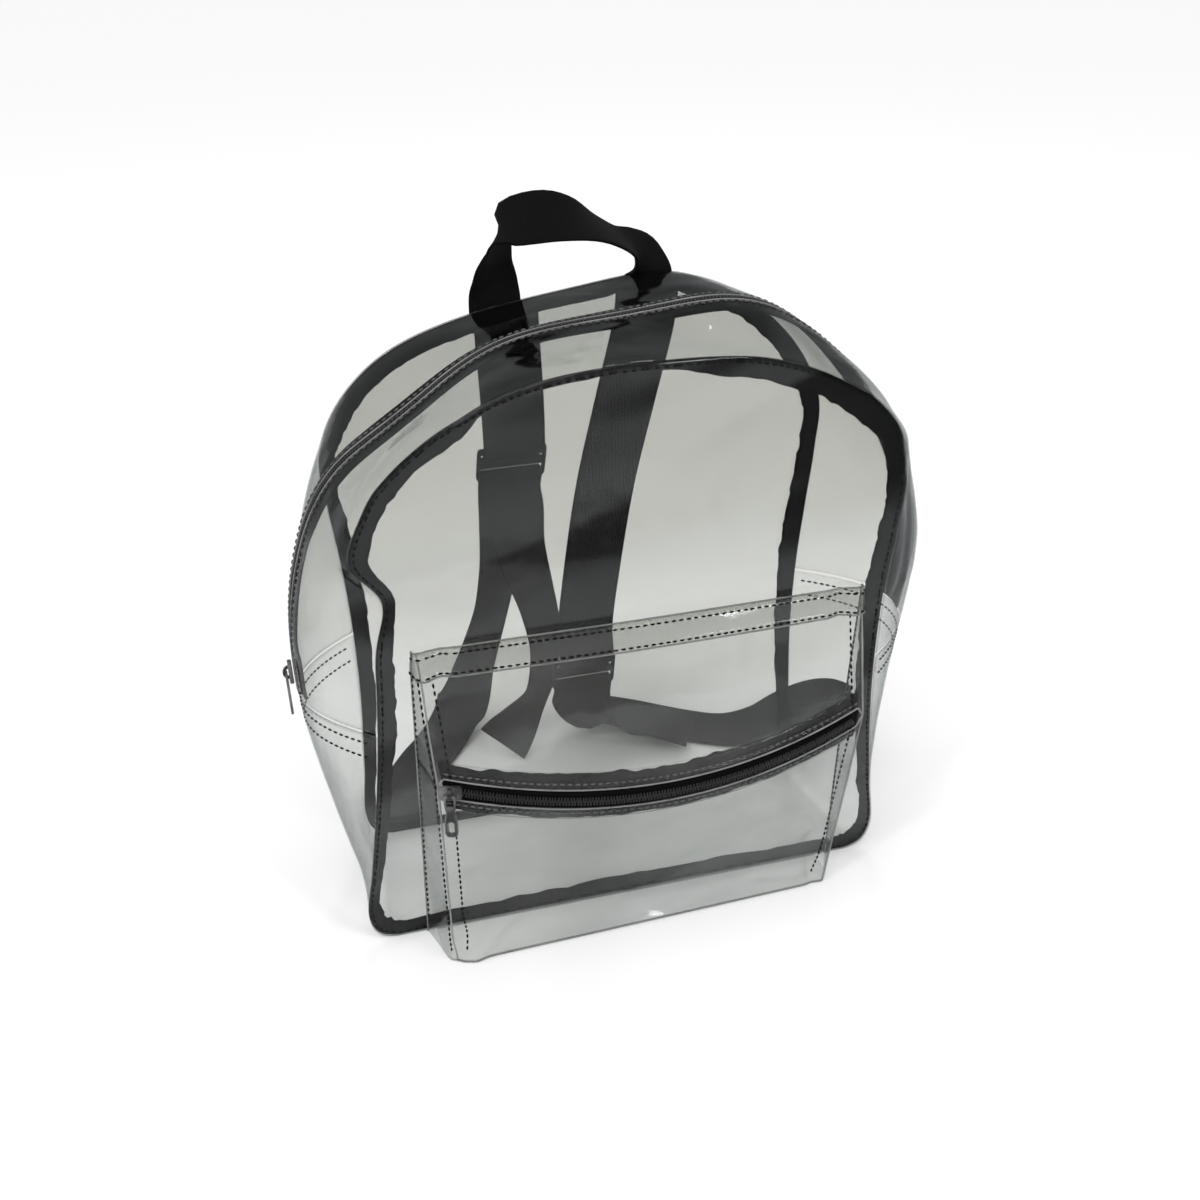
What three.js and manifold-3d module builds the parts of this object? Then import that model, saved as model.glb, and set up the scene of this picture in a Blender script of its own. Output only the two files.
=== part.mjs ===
// Clear backpack of PVC sheet with bound seams, a box pocket, zips, a carrying handle and webbing straps.
// Millimetres. X runs to the right as seen from the front, the front faces -Y and Z is up.
// The origin is the middle of the base, on the surface that the bag stands on.
import * as THREE from "three";
import { mergeVertices } from "three/addons/utils/BufferGeometryUtils.js";
import Module from "manifold-3d";

// Thickness of the clear sheet
const FILM = 1.2;

// How finely the pieces are faceted
const STEPS = 2;
const GUSSET_ROWS = 5;
const BASE_ROWS = 6;
const TAPE_ROWS = 2;
const POCKET_COLUMNS = 40;
const POCKET_ROWS = 4;
const POCKET_FLOOR_COLUMNS = 12;
const POCKET_ZIP_COLUMNS = 24;
const STRAP_STEPS = 2;
const HANDLE_STEPS = 4;
const CORNER_FACETS = 2;
const CELL_CORNERS = 6;
const PANEL_RINGS = [0.55, 0.86, 0.93, 1];

// The bag's three lines: the front seam, the line of the main zip and the back seam
const LINES = {
  front: { height: 354, baseY: -51, topY: -82 },
  middle: { height: 356, baseY: 0, topY: -12 },
  back: { height: 355, baseY: 52, topY: 52 },
};
const BASE_CORNER = 16;
const BASE_CORNER_SHARE = 0.3;
// Half widths of the three lines at shares of their heights
const PROFILE = [
  { up: 0.05, front: 161, middle: 153, back: 148 },
  { up: 0.15, front: 157, middle: 166, back: 146 },
  { up: 0.3, front: 151, middle: 178, back: 144 },
  { up: 0.45, front: 147, middle: 184, back: 145 },
  { up: 0.57, front: 146, middle: 183, back: 148 },
  { up: 0.67, front: 149, middle: 176, back: 152 },
  { up: 0.76, front: 150, middle: 164, back: 154 },
  { up: 0.85, front: 139, middle: 143, back: 141 },
  { up: 0.93, front: 108, middle: 112, back: 113 },
  { up: 0.985, front: 60, middle: 62, back: 64 },
];
// Places where the standing sheet is pushed out of its regular shape
const DENTS = [
  { x: -150, y: -71, z: 232, reach: 20, pushX: 11, pushY: 7, pushZ: 0 },
  { x: -155, y: -70, z: 262, reach: 24, pushX: -6, pushY: -2, pushZ: 0 },
  { x: -120, y: -10, z: 330, reach: 46, pushX: 5, pushY: -4, pushZ: -10 },
  { x: -60, y: 45, z: 352, reach: 55, pushX: 0, pushY: 0, pushZ: -5 },
  { x: 82, y: -14, z: 352, reach: 50, pushX: 5, pushY: 0, pushZ: 11 },
  { x: 148, y: -40, z: 308, reach: 42, pushX: 6, pushY: 0, pushZ: 6 },
  { x: 184, y: -12, z: 212, reach: 58, pushX: 11, pushY: 0, pushZ: 0 },
  { x: 0, y: -76, z: 285, reach: 60, pushX: 0, pushY: -6, pushZ: 0 },
  { x: 55, y: 52, z: 355, reach: 45, pushX: 0, pushY: 0, pushZ: 6 },
];

// Seams and the main zip
const SEAM_SHARE = 0.016;
const BINDING_INSET = 3.4;
const BINDING_WIDTH = 10;
const BINDING_THICK = 1.4;
const BINDING_GAP = 0.8;
const ZIP_END = 6.87;
const CROSS_SEAM_GAP = 0.04;
const BASE_TURN = 3;
const BASE_TURN_GAP = 0.012;
const ZIP_GAP_TOP = 3.2;
const ZIP_GAP_END = 5.2;
const TAPE_HALF = 14;
const TAPE_THICK = 1;
const TAPE_DROP = 0.8;
const COIL_HALF = 2.2;
const COIL_RISE = 0.5;
const COIL_THICK = 1.5;

// Box pocket on the front panel
const POCKET = {
  foot: 0.6, top: 204, zip: 133, zipSag: 16, zipBelly: 21,
  backLeft: -127, backRight: 131, footLeft: -118, footRight: 119, zipLeft: -122, zipRight: 128,
  footLeftDepth: 34, footRightDepth: 26, zipDepth: 32, topDepth: 2.2, flapCurve: 0.9,
  off: 0.75, zipGap: 4.6, sideGap: 0.4, floorLift: 0.1,
};
// Shares of the way across the pocket's left side, face and right side
const POCKET_SHARE = { side: 0.2, zipOpen: 0.012, floor: 0.002, tape: 0.006, coil: 0.02, slider: 0.217 };

// Webbing
const STRAP_WIDTH = 38;
const HANDLE_WIDTH = 30;
const WEB_THICK = 1.7;
// Middle line of the handle, and the direction of its width, from the left leg to the right leg
const HANDLE_ROWS = [
  { x: -46.5, y: 53.9, z: 332, wx: 1, wy: 0, wz: 0 },
  { x: -46.5, y: 54.2, z: 348, wx: 1, wy: 0, wz: 0 },
  { x: -46, y: 56.2, z: 359, wx: 0.93, wy: 0.36, wz: 0 },
  { x: -46, y: 56, z: 368.5, wx: 0.75, wy: 0.66, wz: 0 },
  { x: -44, y: 53.5, z: 379, wx: 0.58, wy: 0.81, wz: 0.1 },
  { x: -38, y: 50, z: 389.5, wx: 0.25, wy: 0.75, wz: 0.6 },
  { x: -20, y: 47, z: 396.5, wx: -0.05, wy: 0.55, wz: 0.83 },
  { x: -2, y: 46, z: 393.5, wx: 0, wy: 0.75, wz: 0.6 },
  { x: 16, y: 48.5, z: 387, wx: 0.15, wy: 0.97, wz: 0.1 },
  { x: 29, y: 52, z: 381, wx: 0.3, wy: 0.95, wz: 0 },
  { x: 38, y: 55.5, z: 374.5, wx: 0.6, wy: 0.8, wz: 0 },
  { x: 43, y: 57.5, z: 366, wx: 0.88, wy: 0.47, wz: 0 },
  { x: 44.5, y: 56.2, z: 357, wx: 1, wy: 0.05, wz: 0 },
  { x: 44, y: 53.9, z: 346, wx: 1, wy: 0, wz: 0 },
  { x: 44, y: 53.9, z: 334, wx: 1, wy: 0, wz: 0 },
];
// Middle lines of the shoulder straps, from the top of the back panel to the adjusters
const SHOULDER_ROWS = {
  left: [
    { x: -40, y: 56.5, z: 346, wx: 1, wy: 0, wz: 0 },
    { x: -39.5, y: 56.3, z: 325, wx: 1, wy: 0, wz: 0 },
    { x: -37.5, y: 61, z: 290, wx: 1, wy: 0, wz: 0 },
  ],
  right: [
    { x: 45, y: 56.9, z: 349, wx: 1, wy: 0, wz: 0 },
    { x: 43, y: 56.3, z: 330, wx: 1, wy: 0, wz: 0 },
    { x: 33, y: 60, z: 285, wx: 1, wy: 0, wz: 0 },
    { x: 21, y: 66, z: 225, wx: 1, wy: 0, wz: 0 },
    { x: 14, y: 76, z: 160, wx: 1, wy: 0, wz: 0 },
    { x: 12, y: 88, z: 108, wx: 1, wy: 0, wz: 0 },
  ],
};
// Middle lines of the lower webbing: the free tail, then from the adjuster to the lower corner
const TAIL_ROWS = {
  left: [
    { x: -43, y: 112, z: 13.2, wx: 0.96, wy: -0.1, wz: 0 },
    { x: -29, y: 116, z: 28, wx: 0.9, wy: 0.3, wz: 0 },
    { x: -13, y: 121, z: 48, wx: 0.75, wy: 0.65, wz: 0 },
    { x: -8.5, y: 123, z: 64, wx: 0.72, wy: 0.69, wz: 0 },
    { x: -7, y: 123.5, z: 88, wx: 0.72, wy: 0.69, wz: 0 },
    { x: -13, y: 120, z: 122, wx: 0.75, wy: 0.65, wz: 0 },
    { x: -23, y: 112, z: 160, wx: 0.88, wy: 0.47, wz: 0 },
    { x: -29, y: 100, z: 194, wx: 0.97, wy: 0.2, wz: 0 },
  ],
  right: [
    { x: 90, y: 97, z: 8, wx: -0.45, wy: -0.89, wz: 0 },
    { x: 66, y: 107, z: 14, wx: -0.3, wy: -0.95, wz: 0 },
    { x: 44, y: 111, z: 17, wx: 0.2, wy: -0.98, wz: 0 },
    { x: 25, y: 107, z: 25, wx: 0.8, wy: -0.6, wz: 0 },
    { x: 15, y: 102, z: 39, wx: 1, wy: -0.1, wz: 0 },
  ],
};
const LOWER_ROWS = {
  left: [
    { x: -34.5, y: 107, z: 192, wx: 0.97, wy: 0.25, wz: 0 },
    { x: -35, y: 121, z: 158, wx: 0.88, wy: 0.47, wz: 0 },
    { x: -38.5, y: 137, z: 118, wx: 0.82, wy: 0.57, wz: 0 },
    { x: -44, y: 148, z: 87, wx: 0.86, wy: 0.5, wz: 0 },
    { x: -54, y: 160, z: 45, wx: 0.95, wy: 0.25, wz: 0.15 },
    { x: -62, y: 168, z: 13, wx: 0.9, wy: -0.38, wz: 0.15 },
    { x: -80, y: 147, z: 2.4, wx: 0.72, wy: -0.68, wz: 0.02 },
    { x: -97, y: 124, z: 1.8, wx: 0.75, wy: -0.66, wz: 0 },
    { x: -112, y: 98, z: 1.5, wx: 0.93, wy: -0.36, wz: 0 },
    { x: -119, y: 55.4, z: 1.3, wx: 1, wy: 0, wz: 0 },
  ],
  right: [
    { x: 17, y: 128, z: 32, wx: 0.97, wy: 0.25, wz: 0 },
    { x: 32, y: 147, z: 10, wx: 0.5, wy: 0.86, wz: -0.1 },
    { x: 60, y: 139, z: 2.4, wx: 0.5, wy: 0.86, wz: 0 },
    { x: 88, y: 118, z: 2.2, wx: 0.55, wy: 0.83, wz: 0 },
    { x: 114, y: 101, z: 2.8, wx: 0.5, wy: 0.86, wz: 0.05 },
    { x: 140, y: 90, z: 8, wx: 0.3, wy: 0.9, wz: 0.3 },
    { x: 166, y: 87, z: 15.6, wx: 0, wy: 0.7, wz: 0.7 },
    { x: 192, y: 86, z: 20.4, wx: 0, wy: 0.1, wz: 1 },
    { x: 203, y: 73, z: 20.4, wx: 0, wy: 0, wz: 1 },
    { x: 190, y: 61, z: 20.4, wx: 0, wy: 0, wz: 1 },
    { x: 162, y: 57, z: 20.4, wx: 0, wy: 0, wz: 1 },
    { x: 140, y: 54.6, z: 20.4, wx: 0, wy: 0, wz: 1 },
  ],
};

// The shoulder strap's end through the adjuster's upper slot, measured from the slot's middle
const SLOT_ROWS = [
  { down: -12, out: -4.2 },
  { down: -5.4, out: -3.7 },
  { down: -2.2, out: -2.2 },
  { down: 0, out: 0 },
  { down: 2.2, out: 2.2 },
  { down: 3.6, out: 3.8 },
];
// The lower webbing's turn round the adjuster's lower bar
const LOOP = { radius: 3.9, lead: 10, stepDeg: 30 };

// Strap adjusters: frames with two slots, placed by their middles and tilted about X
const ADJUSTER = {
  width: 43.4, height: 26, thick: 3.6, corner: 3,
  slotWidth: 39.2, slotCorner: 0.8, bar: 3.5, middleBar: 4,
};
const ADJUSTER_PLACES = {
  left: { x: -35, y: 82, z: 239, tilt: 23 },
  right: { x: 13, y: 97, z: 72, tilt: 14 },
};

// Zip sliders and their pulls: distances above the zip, across it and down the pull
const SLIDER = { width: 8.6, length: 13, low: 1.1, high: 3.4, corner: 2 };
const LUG = { width: 2.2, length: 9, low: 2.8, high: 7.4, corner: 1.6 };
const TUNNEL = { length: 5.8, low: 3.5, high: 6.1, corner: 0.9 };
const PULL = { width: 7.4, length: 27, thick: 1.5, bar: 1.5, corner: 1 };
const PULL_WINDOW = { width: 4, end: 7, corner: 0.6 };
const PULL_SLOT = { width: 3, from: 17, to: 24.4, corner: 1.45 };
const PULL_AXIS = { down: 0.8, out: 4.8 };
const MAIN_SLIDER_STATION = 7.12;

const wasm = await Module();
wasm.setup();

const vector = (x, y, z) => new THREE.Vector3(x, y, z);
const smooth = (value) => THREE.MathUtils.smoothstep(value, 0, 1);

// Merges equal corners, drops flat triangles and turns the faces outwards
function closed(geometry) {
  const bare = geometry.index ? geometry : mergeVertices(geometry);
  bare.deleteAttribute("normal");
  bare.deleteAttribute("uv");
  const merged = mergeVertices(bare, 1e-3);
  const place = merged.attributes.position;
  const corner = (i) => new THREE.Vector3().fromBufferAttribute(place, i);
  const kept = [];
  let volume = 0;
  const old = merged.index.array;
  for (let i = 0; i < old.length; i += 3) {
    const [a, b, c] = [old[i], old[i + 1], old[i + 2]];
    if (a !== b && b !== c && c !== a) {
      kept.push(a, b, c);
      volume += corner(a).dot(corner(b).cross(corner(c)));
    }
  }
  if (volume < 0) {
    kept.reverse();
  }
  merged.setIndex(kept);
  return merged;
}

function solid(geometry) {
  const bare = closed(geometry);
  const vertProperties = new Float32Array(bare.attributes.position.array);
  const triVerts = new Uint32Array(bare.index.array);
  return new wasm.Manifold(new wasm.Mesh({ numProp: 3, vertProperties, triVerts }));
}

function surfaceOf(body) {
  const mesh = body.getMesh();
  const geometry = new THREE.BufferGeometry();
  geometry.setAttribute("position", new THREE.BufferAttribute(new Float32Array(mesh.vertProperties), 3));
  geometry.setIndex(Array.from(mesh.triVerts));
  return geometry;
}

// The dents move every sheet of the bag alike, so that neighbours keep their clearances
function dented(point) {
  const moved = point.clone();
  for (const dent of DENTS) {
    const far = point.distanceTo(vector(dent.x, dent.y, dent.z)) / dent.reach;
    const share = Math.exp(-far * far);
    moved.add(vector(dent.pushX, dent.pushY, dent.pushZ).multiplyScalar(share));
  }
  moved.z = Math.max(moved.z, 0);
  return moved;
}

// The way out of a surface at u, v, square to both of its directions
function wayOut(at, u, v) {
  const small = 1e-3;
  const [u0, u1] = [Math.max(u - small, 0), Math.min(u + small, 1)];
  const [v0, v1] = [Math.max(v - small, 0), Math.min(v + small, 1)];
  const along = at(u1, v).sub(at(u0, v));
  const across = at(u, v1).sub(at(u, v0));
  return along.cross(across).normalize();
}

// A closed sheet whose outer face lies lift above the surface at(u, v)
function sheet(at, columns, rows, thick, lift) {
  const box = new THREE.BoxGeometry(1, 1, 1, columns, rows, 1);
  const place = box.attributes.position;
  for (let i = 0; i < place.count; i += 1) {
    const u = place.getX(i) + 0.5;
    const v = place.getY(i) + 0.5;
    const away = place.getZ(i) > 0 ? lift : lift - thick;
    const point = at(u, v).addScaledVector(wayOut(at, u, v), away);
    place.setXYZ(i, point.x, point.y, Math.max(point.z, 0));
  }
  // Both faces are cut along the same diagonals, so a twisted sheet keeps its thickness
  const corners = box.index;
  const { start, count } = box.groups.at(-1);
  for (let i = start; i < start + count; i += CELL_CORNERS) {
    corners.setX(i + 2, corners.getX(i + 4));
    corners.setX(i + 3, corners.getX(i));
  }
  return closed(box);
}

// A line round the bag: from the middle of the base up the left side, over the top and down the right side
function lineOf(name) {
  const { height, baseY, topY } = LINES[name];
  const place = (x, z) => vector(x, baseY + ((topY - baseY) * z) / height, z);
  const half = PROFILE[0][name];
  const bend = BASE_CORNER_SHARE * BASE_CORNER;
  const left = [
    place(-half / 2, 0),
    place(-half + BASE_CORNER, 0),
    place(-half + bend, bend),
    ...PROFILE.map((row) => place(-row[name], row.up * height)),
  ];
  const right = left.map((point) => point.clone().setX(-point.x)).reverse();
  const points = [place(0, 0), ...left, place(0, height), ...right];
  return new THREE.CatmullRomCurve3(points, true, "centripetal");
}

const FRONT = lineOf("front");
const MIDDLE = lineOf("middle");
const BACK = lineOf("back");
const STATIONS = FRONT.points.length;
const TOP_STATION = STATIONS / 2;

function onLine(line, station) {
  const point = line.getPoint((((station % STATIONS) + STATIONS) % STATIONS) / STATIONS);
  point.z = Math.max(point.z, 0);
  return point;
}

// The gusset's outer face: a curve across from the front seam over the middle line to the back seam
function onGusset(station, share) {
  const point = onLine(FRONT, station).multiplyScalar(2 * (share - 0.5) * (share - 1));
  point.addScaledVector(onLine(MIDDLE, station), 4 * share * (1 - share));
  point.addScaledVector(onLine(BACK, station), 2 * share * (share - 0.5));
  return dented(point);
}

function gussetWidth(station) {
  return onLine(FRONT, station).distanceTo(onLine(BACK, station));
}

// A strip of gusset between two stations, with its edges given as shares across at each station
function gussetStrip(from, to, near, far, rows, thick, lift) {
  const at = (u, v) => {
    const station = THREE.MathUtils.lerp(from, to, u);
    return onGusset(station, THREE.MathUtils.lerp(near(station), far(station), v));
  };
  return sheet(at, Math.round((to - from) * STEPS), rows, thick, lift);
}

function zipShare(station, distance) {
  return 0.5 + distance / gussetWidth(station);
}

function zipGap(station) {
  const share = Math.abs(station - TOP_STATION) / (TOP_STATION - ZIP_END);
  return THREE.MathUtils.lerp(ZIP_GAP_TOP, ZIP_GAP_END, share);
}

// An arched panel: a coin of rings round its middle, with inward the direction of its thickness
function panel(line, name, inward) {
  const profile = [new THREE.Vector2(0, 0)];
  PANEL_RINGS.forEach((ring) => profile.push(new THREE.Vector2(ring, 0)));
  PANEL_RINGS.toReversed().forEach((ring) => profile.push(new THREE.Vector2(ring, 1)));
  profile.push(new THREE.Vector2(0, 1));
  const coin = new THREE.LatheGeometry(profile, STATIONS * STEPS);
  const { height, baseY, topY } = LINES[name];
  const middle = vector(0, (baseY + topY) / 2, height / 2);
  const place = coin.attributes.position;
  for (let i = 0; i < place.count; i += 1) {
    const [x, z] = [place.getX(i), place.getZ(i)];
    const turn = Math.atan2(x, z) / (2 * Math.PI);
    const edge = onLine(line, turn * STATIONS);
    const point = dented(middle.clone().lerp(edge, Math.hypot(x, z)));
    place.setXYZ(i, point.x, point.y + inward * FILM * place.getY(i), point.z);
  }
  return closed(coin);
}

// A bound seam allowance: a flat ring behind the panel's edge
function binding(line, name, inward) {
  const { height, baseY, topY } = LINES[name];
  const middle = vector(0, (baseY + topY) / 2, height / 2);
  const near = FILM + BINDING_GAP;
  const corners = [
    { inset: BINDING_INSET, depth: near },
    { inset: BINDING_INSET, depth: near + BINDING_THICK },
    { inset: BINDING_INSET + BINDING_WIDTH, depth: near + BINDING_THICK },
    { inset: BINDING_INSET + BINDING_WIDTH, depth: near },
  ];
  const count = STATIONS * STEPS;
  const ring = new THREE.TorusGeometry(1, 0.2, corners.length, count);
  const place = ring.attributes.position;
  for (let i = 0; i < place.count; i += 1) {
    const corner = corners[Math.floor(i / (count + 1)) % corners.length];
    const edge = onLine(line, ((i % (count + 1)) / count) * STATIONS);
    const inner = middle.clone().sub(edge).normalize();
    const point = dented(edge.addScaledVector(inner, corner.inset));
    place.setXYZ(i, point.x, point.y + inward * corner.depth, point.z);
  }
  return closed(ring);
}

function frontY(z) {
  const { height, baseY, topY } = LINES.front;
  return baseY + ((topY - baseY) * z) / height;
}

// The height of the pocket's zip, which hangs lower in the middle
function zipHeight(side) {
  return POCKET.zip - POCKET.zipSag * (1 - side * side);
}

// How far the pocket stands off the front panel
function pocketDepth(side, z) {
  const zip = zipHeight(side);
  const zipDepth = POCKET.zipDepth + POCKET.zipBelly * (1 - side * side);
  if (z <= zip) {
    const footDepth = THREE.MathUtils.lerp(POCKET.footLeftDepth, POCKET.footRightDepth, (side + 1) / 2);
    return THREE.MathUtils.lerp(footDepth, zipDepth, z / zip);
  }
  const share = (POCKET.top - z) / (POCKET.top - zip);
  return THREE.MathUtils.lerp(POCKET.topDepth, zipDepth, share ** POCKET.flapCurve);
}

// The pocket's outer face: across its left side, its face and its right side, at a height
function onPocket(share, height) {
  const sides = POCKET_SHARE.side;
  const side = THREE.MathUtils.clamp((share - sides) / (1 - 2 * sides), 0, 1) * 2 - 1;
  const z = height(side);
  const level = Math.min(z / POCKET.zip, 1);
  const rise = THREE.MathUtils.clamp((z - POCKET.zip) / (POCKET.top - POCKET.zip), 0, 1);
  const frontLeft = THREE.MathUtils.lerp(
    THREE.MathUtils.lerp(POCKET.footLeft, POCKET.zipLeft, level), POCKET.backLeft, rise);
  const frontRight = THREE.MathUtils.lerp(
    THREE.MathUtils.lerp(POCKET.footRight, POCKET.zipRight, level), POCKET.backRight, rise);
  const back = frontY(z) - POCKET.off;
  const depth = pocketDepth(side, z);
  if (share < sides) {
    const out = share / sides;
    return vector(THREE.MathUtils.lerp(POCKET.backLeft, frontLeft, out), back - out * depth, z);
  }
  if (share > 1 - sides) {
    const out = (1 - share) / sides;
    return vector(THREE.MathUtils.lerp(POCKET.backRight, frontRight, out), back - out * depth, z);
  }
  return vector(THREE.MathUtils.lerp(frontLeft, frontRight, (side + 1) / 2), back - depth, z);
}

// Half the width of the slit for the pocket's zip, which closes at the pocket's sides
function pocketGap(share) {
  const inside = Math.min(share, 1 - share) - POCKET_SHARE.side;
  return THREE.MathUtils.lerp(POCKET.sideGap, POCKET.zipGap, smooth(inside / POCKET_SHARE.zipOpen));
}

function pocketSheet(from, to, low, high, columns, rows, thick, lift) {
  const at = (u, v) => {
    const share = THREE.MathUtils.lerp(from, to, u);
    const height = (side) => THREE.MathUtils.lerp(low(share, side), high(share, side), v);
    return dented(onPocket(share, height));
  };
  return sheet(at, columns, rows, thick, lift);
}

// The pocket below its zip: the wall round three sides, joined to the bottom
function pocketBody() {
  const low = () => POCKET.foot;
  const high = (share, side) => zipHeight(side) - pocketGap(share);
  const wall = pocketSheet(0, 1, low, high, POCKET_COLUMNS, POCKET_ROWS, FILM, 0);
  const from = POCKET_SHARE.side + POCKET_SHARE.floor;
  const back = frontY(POCKET.foot) - POCKET.off;
  const at = (u, v) => {
    const front = onPocket(THREE.MathUtils.lerp(from, 1 - from, u), low);
    return vector(front.x, THREE.MathUtils.lerp(back, front.y + FILM / 2, v), POCKET.foot);
  };
  const floor = new THREE.BoxGeometry(1, 1, 1, POCKET_FLOOR_COLUMNS, 1, 1);
  const place = floor.attributes.position;
  for (let i = 0; i < place.count; i += 1) {
    const point = at(place.getX(i) + 0.5, place.getY(i) + 0.5);
    const rise = place.getZ(i) > 0 ? FILM : 0;
    place.setXYZ(i, point.x, point.y, point.z + POCKET.floorLift + rise);
  }
  return surfaceOf(solid(wall).add(solid(floor)));
}

function pocketFlap() {
  const low = (share, side) => zipHeight(side) + pocketGap(share);
  const high = () => POCKET.top;
  return pocketSheet(0, 1, low, high, POCKET_COLUMNS, POCKET_ROWS, FILM, 0);
}

function pocketZipStrip(half, inset, thick, lift) {
  const from = POCKET_SHARE.side + inset;
  const low = (share, side) => zipHeight(side) - half;
  const high = (share, side) => zipHeight(side) + half;
  return pocketSheet(from, 1 - from, low, high, POCKET_ZIP_COLUMNS, TAPE_ROWS, thick, lift);
}

// A flat ribbon along rows of middle points and width directions
function ribbon(rows, width, steps) {
  const places = rows.map((row) => vector(row.x, row.y, row.z));
  const widths = rows.map((row) => vector(row.wx, row.wy, row.wz));
  const line = new THREE.CatmullRomCurve3(places, false, "centripetal");
  const wide = new THREE.CatmullRomCurve3(widths, false, "centripetal");
  const at = (u, v) => {
    const tangent = line.getTangent(u);
    const across = wide.getPoint(u);
    across.addScaledVector(tangent, -across.dot(tangent)).normalize();
    return line.getPoint(u).addScaledVector(across, (v - 0.5) * width);
  };
  return sheet(at, (rows.length - 1) * steps, TAPE_ROWS, WEB_THICK, WEB_THICK / 2);
}

// The adjuster's own directions: down its slope and out of its face
function adjusterFrame(side) {
  const { x, y, z, tilt } = ADJUSTER_PLACES[side];
  const lean = THREE.MathUtils.degToRad(tilt);
  return {
    middle: vector(x, y, z),
    down: vector(0, Math.sin(lean), -Math.cos(lean)),
    out: vector(0, Math.cos(lean), Math.sin(lean)),
  };
}

function adjusterRow(side, down, out) {
  const frame = adjusterFrame(side);
  const point = frame.middle.addScaledVector(frame.down, down).addScaledVector(frame.out, out);
  return { x: point.x, y: point.y, z: point.z, wx: 1, wy: 0, wz: 0 };
}

// The shoulder strap ends through the adjuster's upper slot
function shoulderStrap(side) {
  const slot = (ADJUSTER.middleBar / 2 + ADJUSTER.height / 2 - ADJUSTER.bar) / 2;
  const end = SLOT_ROWS.map((row) => adjusterRow(side, row.down - slot, row.out));
  return ribbon([...SHOULDER_ROWS[side], ...end], STRAP_WIDTH, STRAP_STEPS);
}

// The lower webbing turns round the adjuster's lower bar between its tail and its run to the corner
function lowerStrap(side) {
  const bar = ADJUSTER.height / 2 - ADJUSTER.bar / 2;
  const rows = [...TAIL_ROWS[side], adjusterRow(side, bar + LOOP.lead, -LOOP.radius)];
  for (let angle = -90; angle <= 90; angle += LOOP.stepDeg) {
    const radians = THREE.MathUtils.degToRad(angle);
    const [down, out] = [-LOOP.radius * Math.cos(radians), LOOP.radius * Math.sin(radians)];
    rows.push(adjusterRow(side, bar + down, out));
  }
  rows.push(adjusterRow(side, bar + LOOP.lead, LOOP.radius));
  rows.push(...LOWER_ROWS[side]);
  return ribbon(rows, STRAP_WIDTH, STRAP_STEPS);
}

// Draws a rectangle with rounded corners into a shape or a path
function roundedRectangle(path, left, low, right, high, radius) {
  path.moveTo(left + radius, low);
  path.lineTo(right - radius, low);
  path.absarc(right - radius, low + radius, radius, -Math.PI / 2, 0, false);
  path.lineTo(right, high - radius);
  path.absarc(right - radius, high - radius, radius, 0, Math.PI / 2, false);
  path.lineTo(left + radius, high);
  path.absarc(left + radius, high - radius, radius, Math.PI / 2, Math.PI, false);
  path.lineTo(left, low + radius);
  path.absarc(left + radius, low + radius, radius, Math.PI, 1.5 * Math.PI, false);
  return path;
}

function plate(shape, from, to) {
  const options = { depth: to - from, bevelEnabled: false, curveSegments: CORNER_FACETS };
  return new THREE.ExtrudeGeometry(shape, options).translate(0, 0, from);
}

// Places a piece whose own X runs along the hinge, whose Y runs up from it and whose Z points out
function placed(geometry, middle, hinge, out) {
  const up = out.clone().cross(hinge);
  const turn = new THREE.Matrix4().makeBasis(hinge, up, out).setPosition(middle);
  return closed(geometry.applyMatrix4(turn));
}

function adjuster(side) {
  const { width, height, thick, corner, slotWidth, slotCorner, bar, middleBar } = ADJUSTER;
  const shape = roundedRectangle(new THREE.Shape(), -width / 2, -height / 2, width / 2, height / 2, corner);
  const [inner, outer] = [middleBar / 2, height / 2 - bar];
  for (const [low, high] of [[inner, outer], [-outer, -inner]]) {
    const slot = new THREE.Path();
    shape.holes.push(roundedRectangle(slot, -slotWidth / 2, low, slotWidth / 2, high, slotCorner));
  }
  const frame = adjusterFrame(side);
  return placed(plate(shape, -thick / 2, thick / 2), frame.middle, vector(-1, 0, 0), frame.out);
}

// The slider's body carries a lug with a tunnel for the bar of its pull
function slider(seat) {
  const { width, length, low, high, corner } = SLIDER;
  const [wide, long] = seat.acrossHinge ? [width, length] : [length, width];
  const plan = roundedRectangle(new THREE.Shape(), -wide / 2, -long / 2, wide / 2, long / 2, corner);
  const body = plate(plan, low, high);
  const end = LUG.length / 2;
  const lug = roundedRectangle(new THREE.Shape(), -end, LUG.low, end, LUG.high, LUG.corner);
  const mouth = TUNNEL.length / 2;
  lug.holes.push(roundedRectangle(new THREE.Path(), -mouth, TUNNEL.low, mouth, TUNNEL.high, TUNNEL.corner));
  const arch = plate(lug, -LUG.width / 2, LUG.width / 2);
  arch.applyMatrix4(new THREE.Matrix4().makeBasis(vector(0, 1, 0), vector(0, 0, 1), vector(1, 0, 0)));
  const whole = surfaceOf(solid(body).add(solid(arch)));
  return placed(whole, seat.middle, seat.hinge, seat.out);
}

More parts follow.
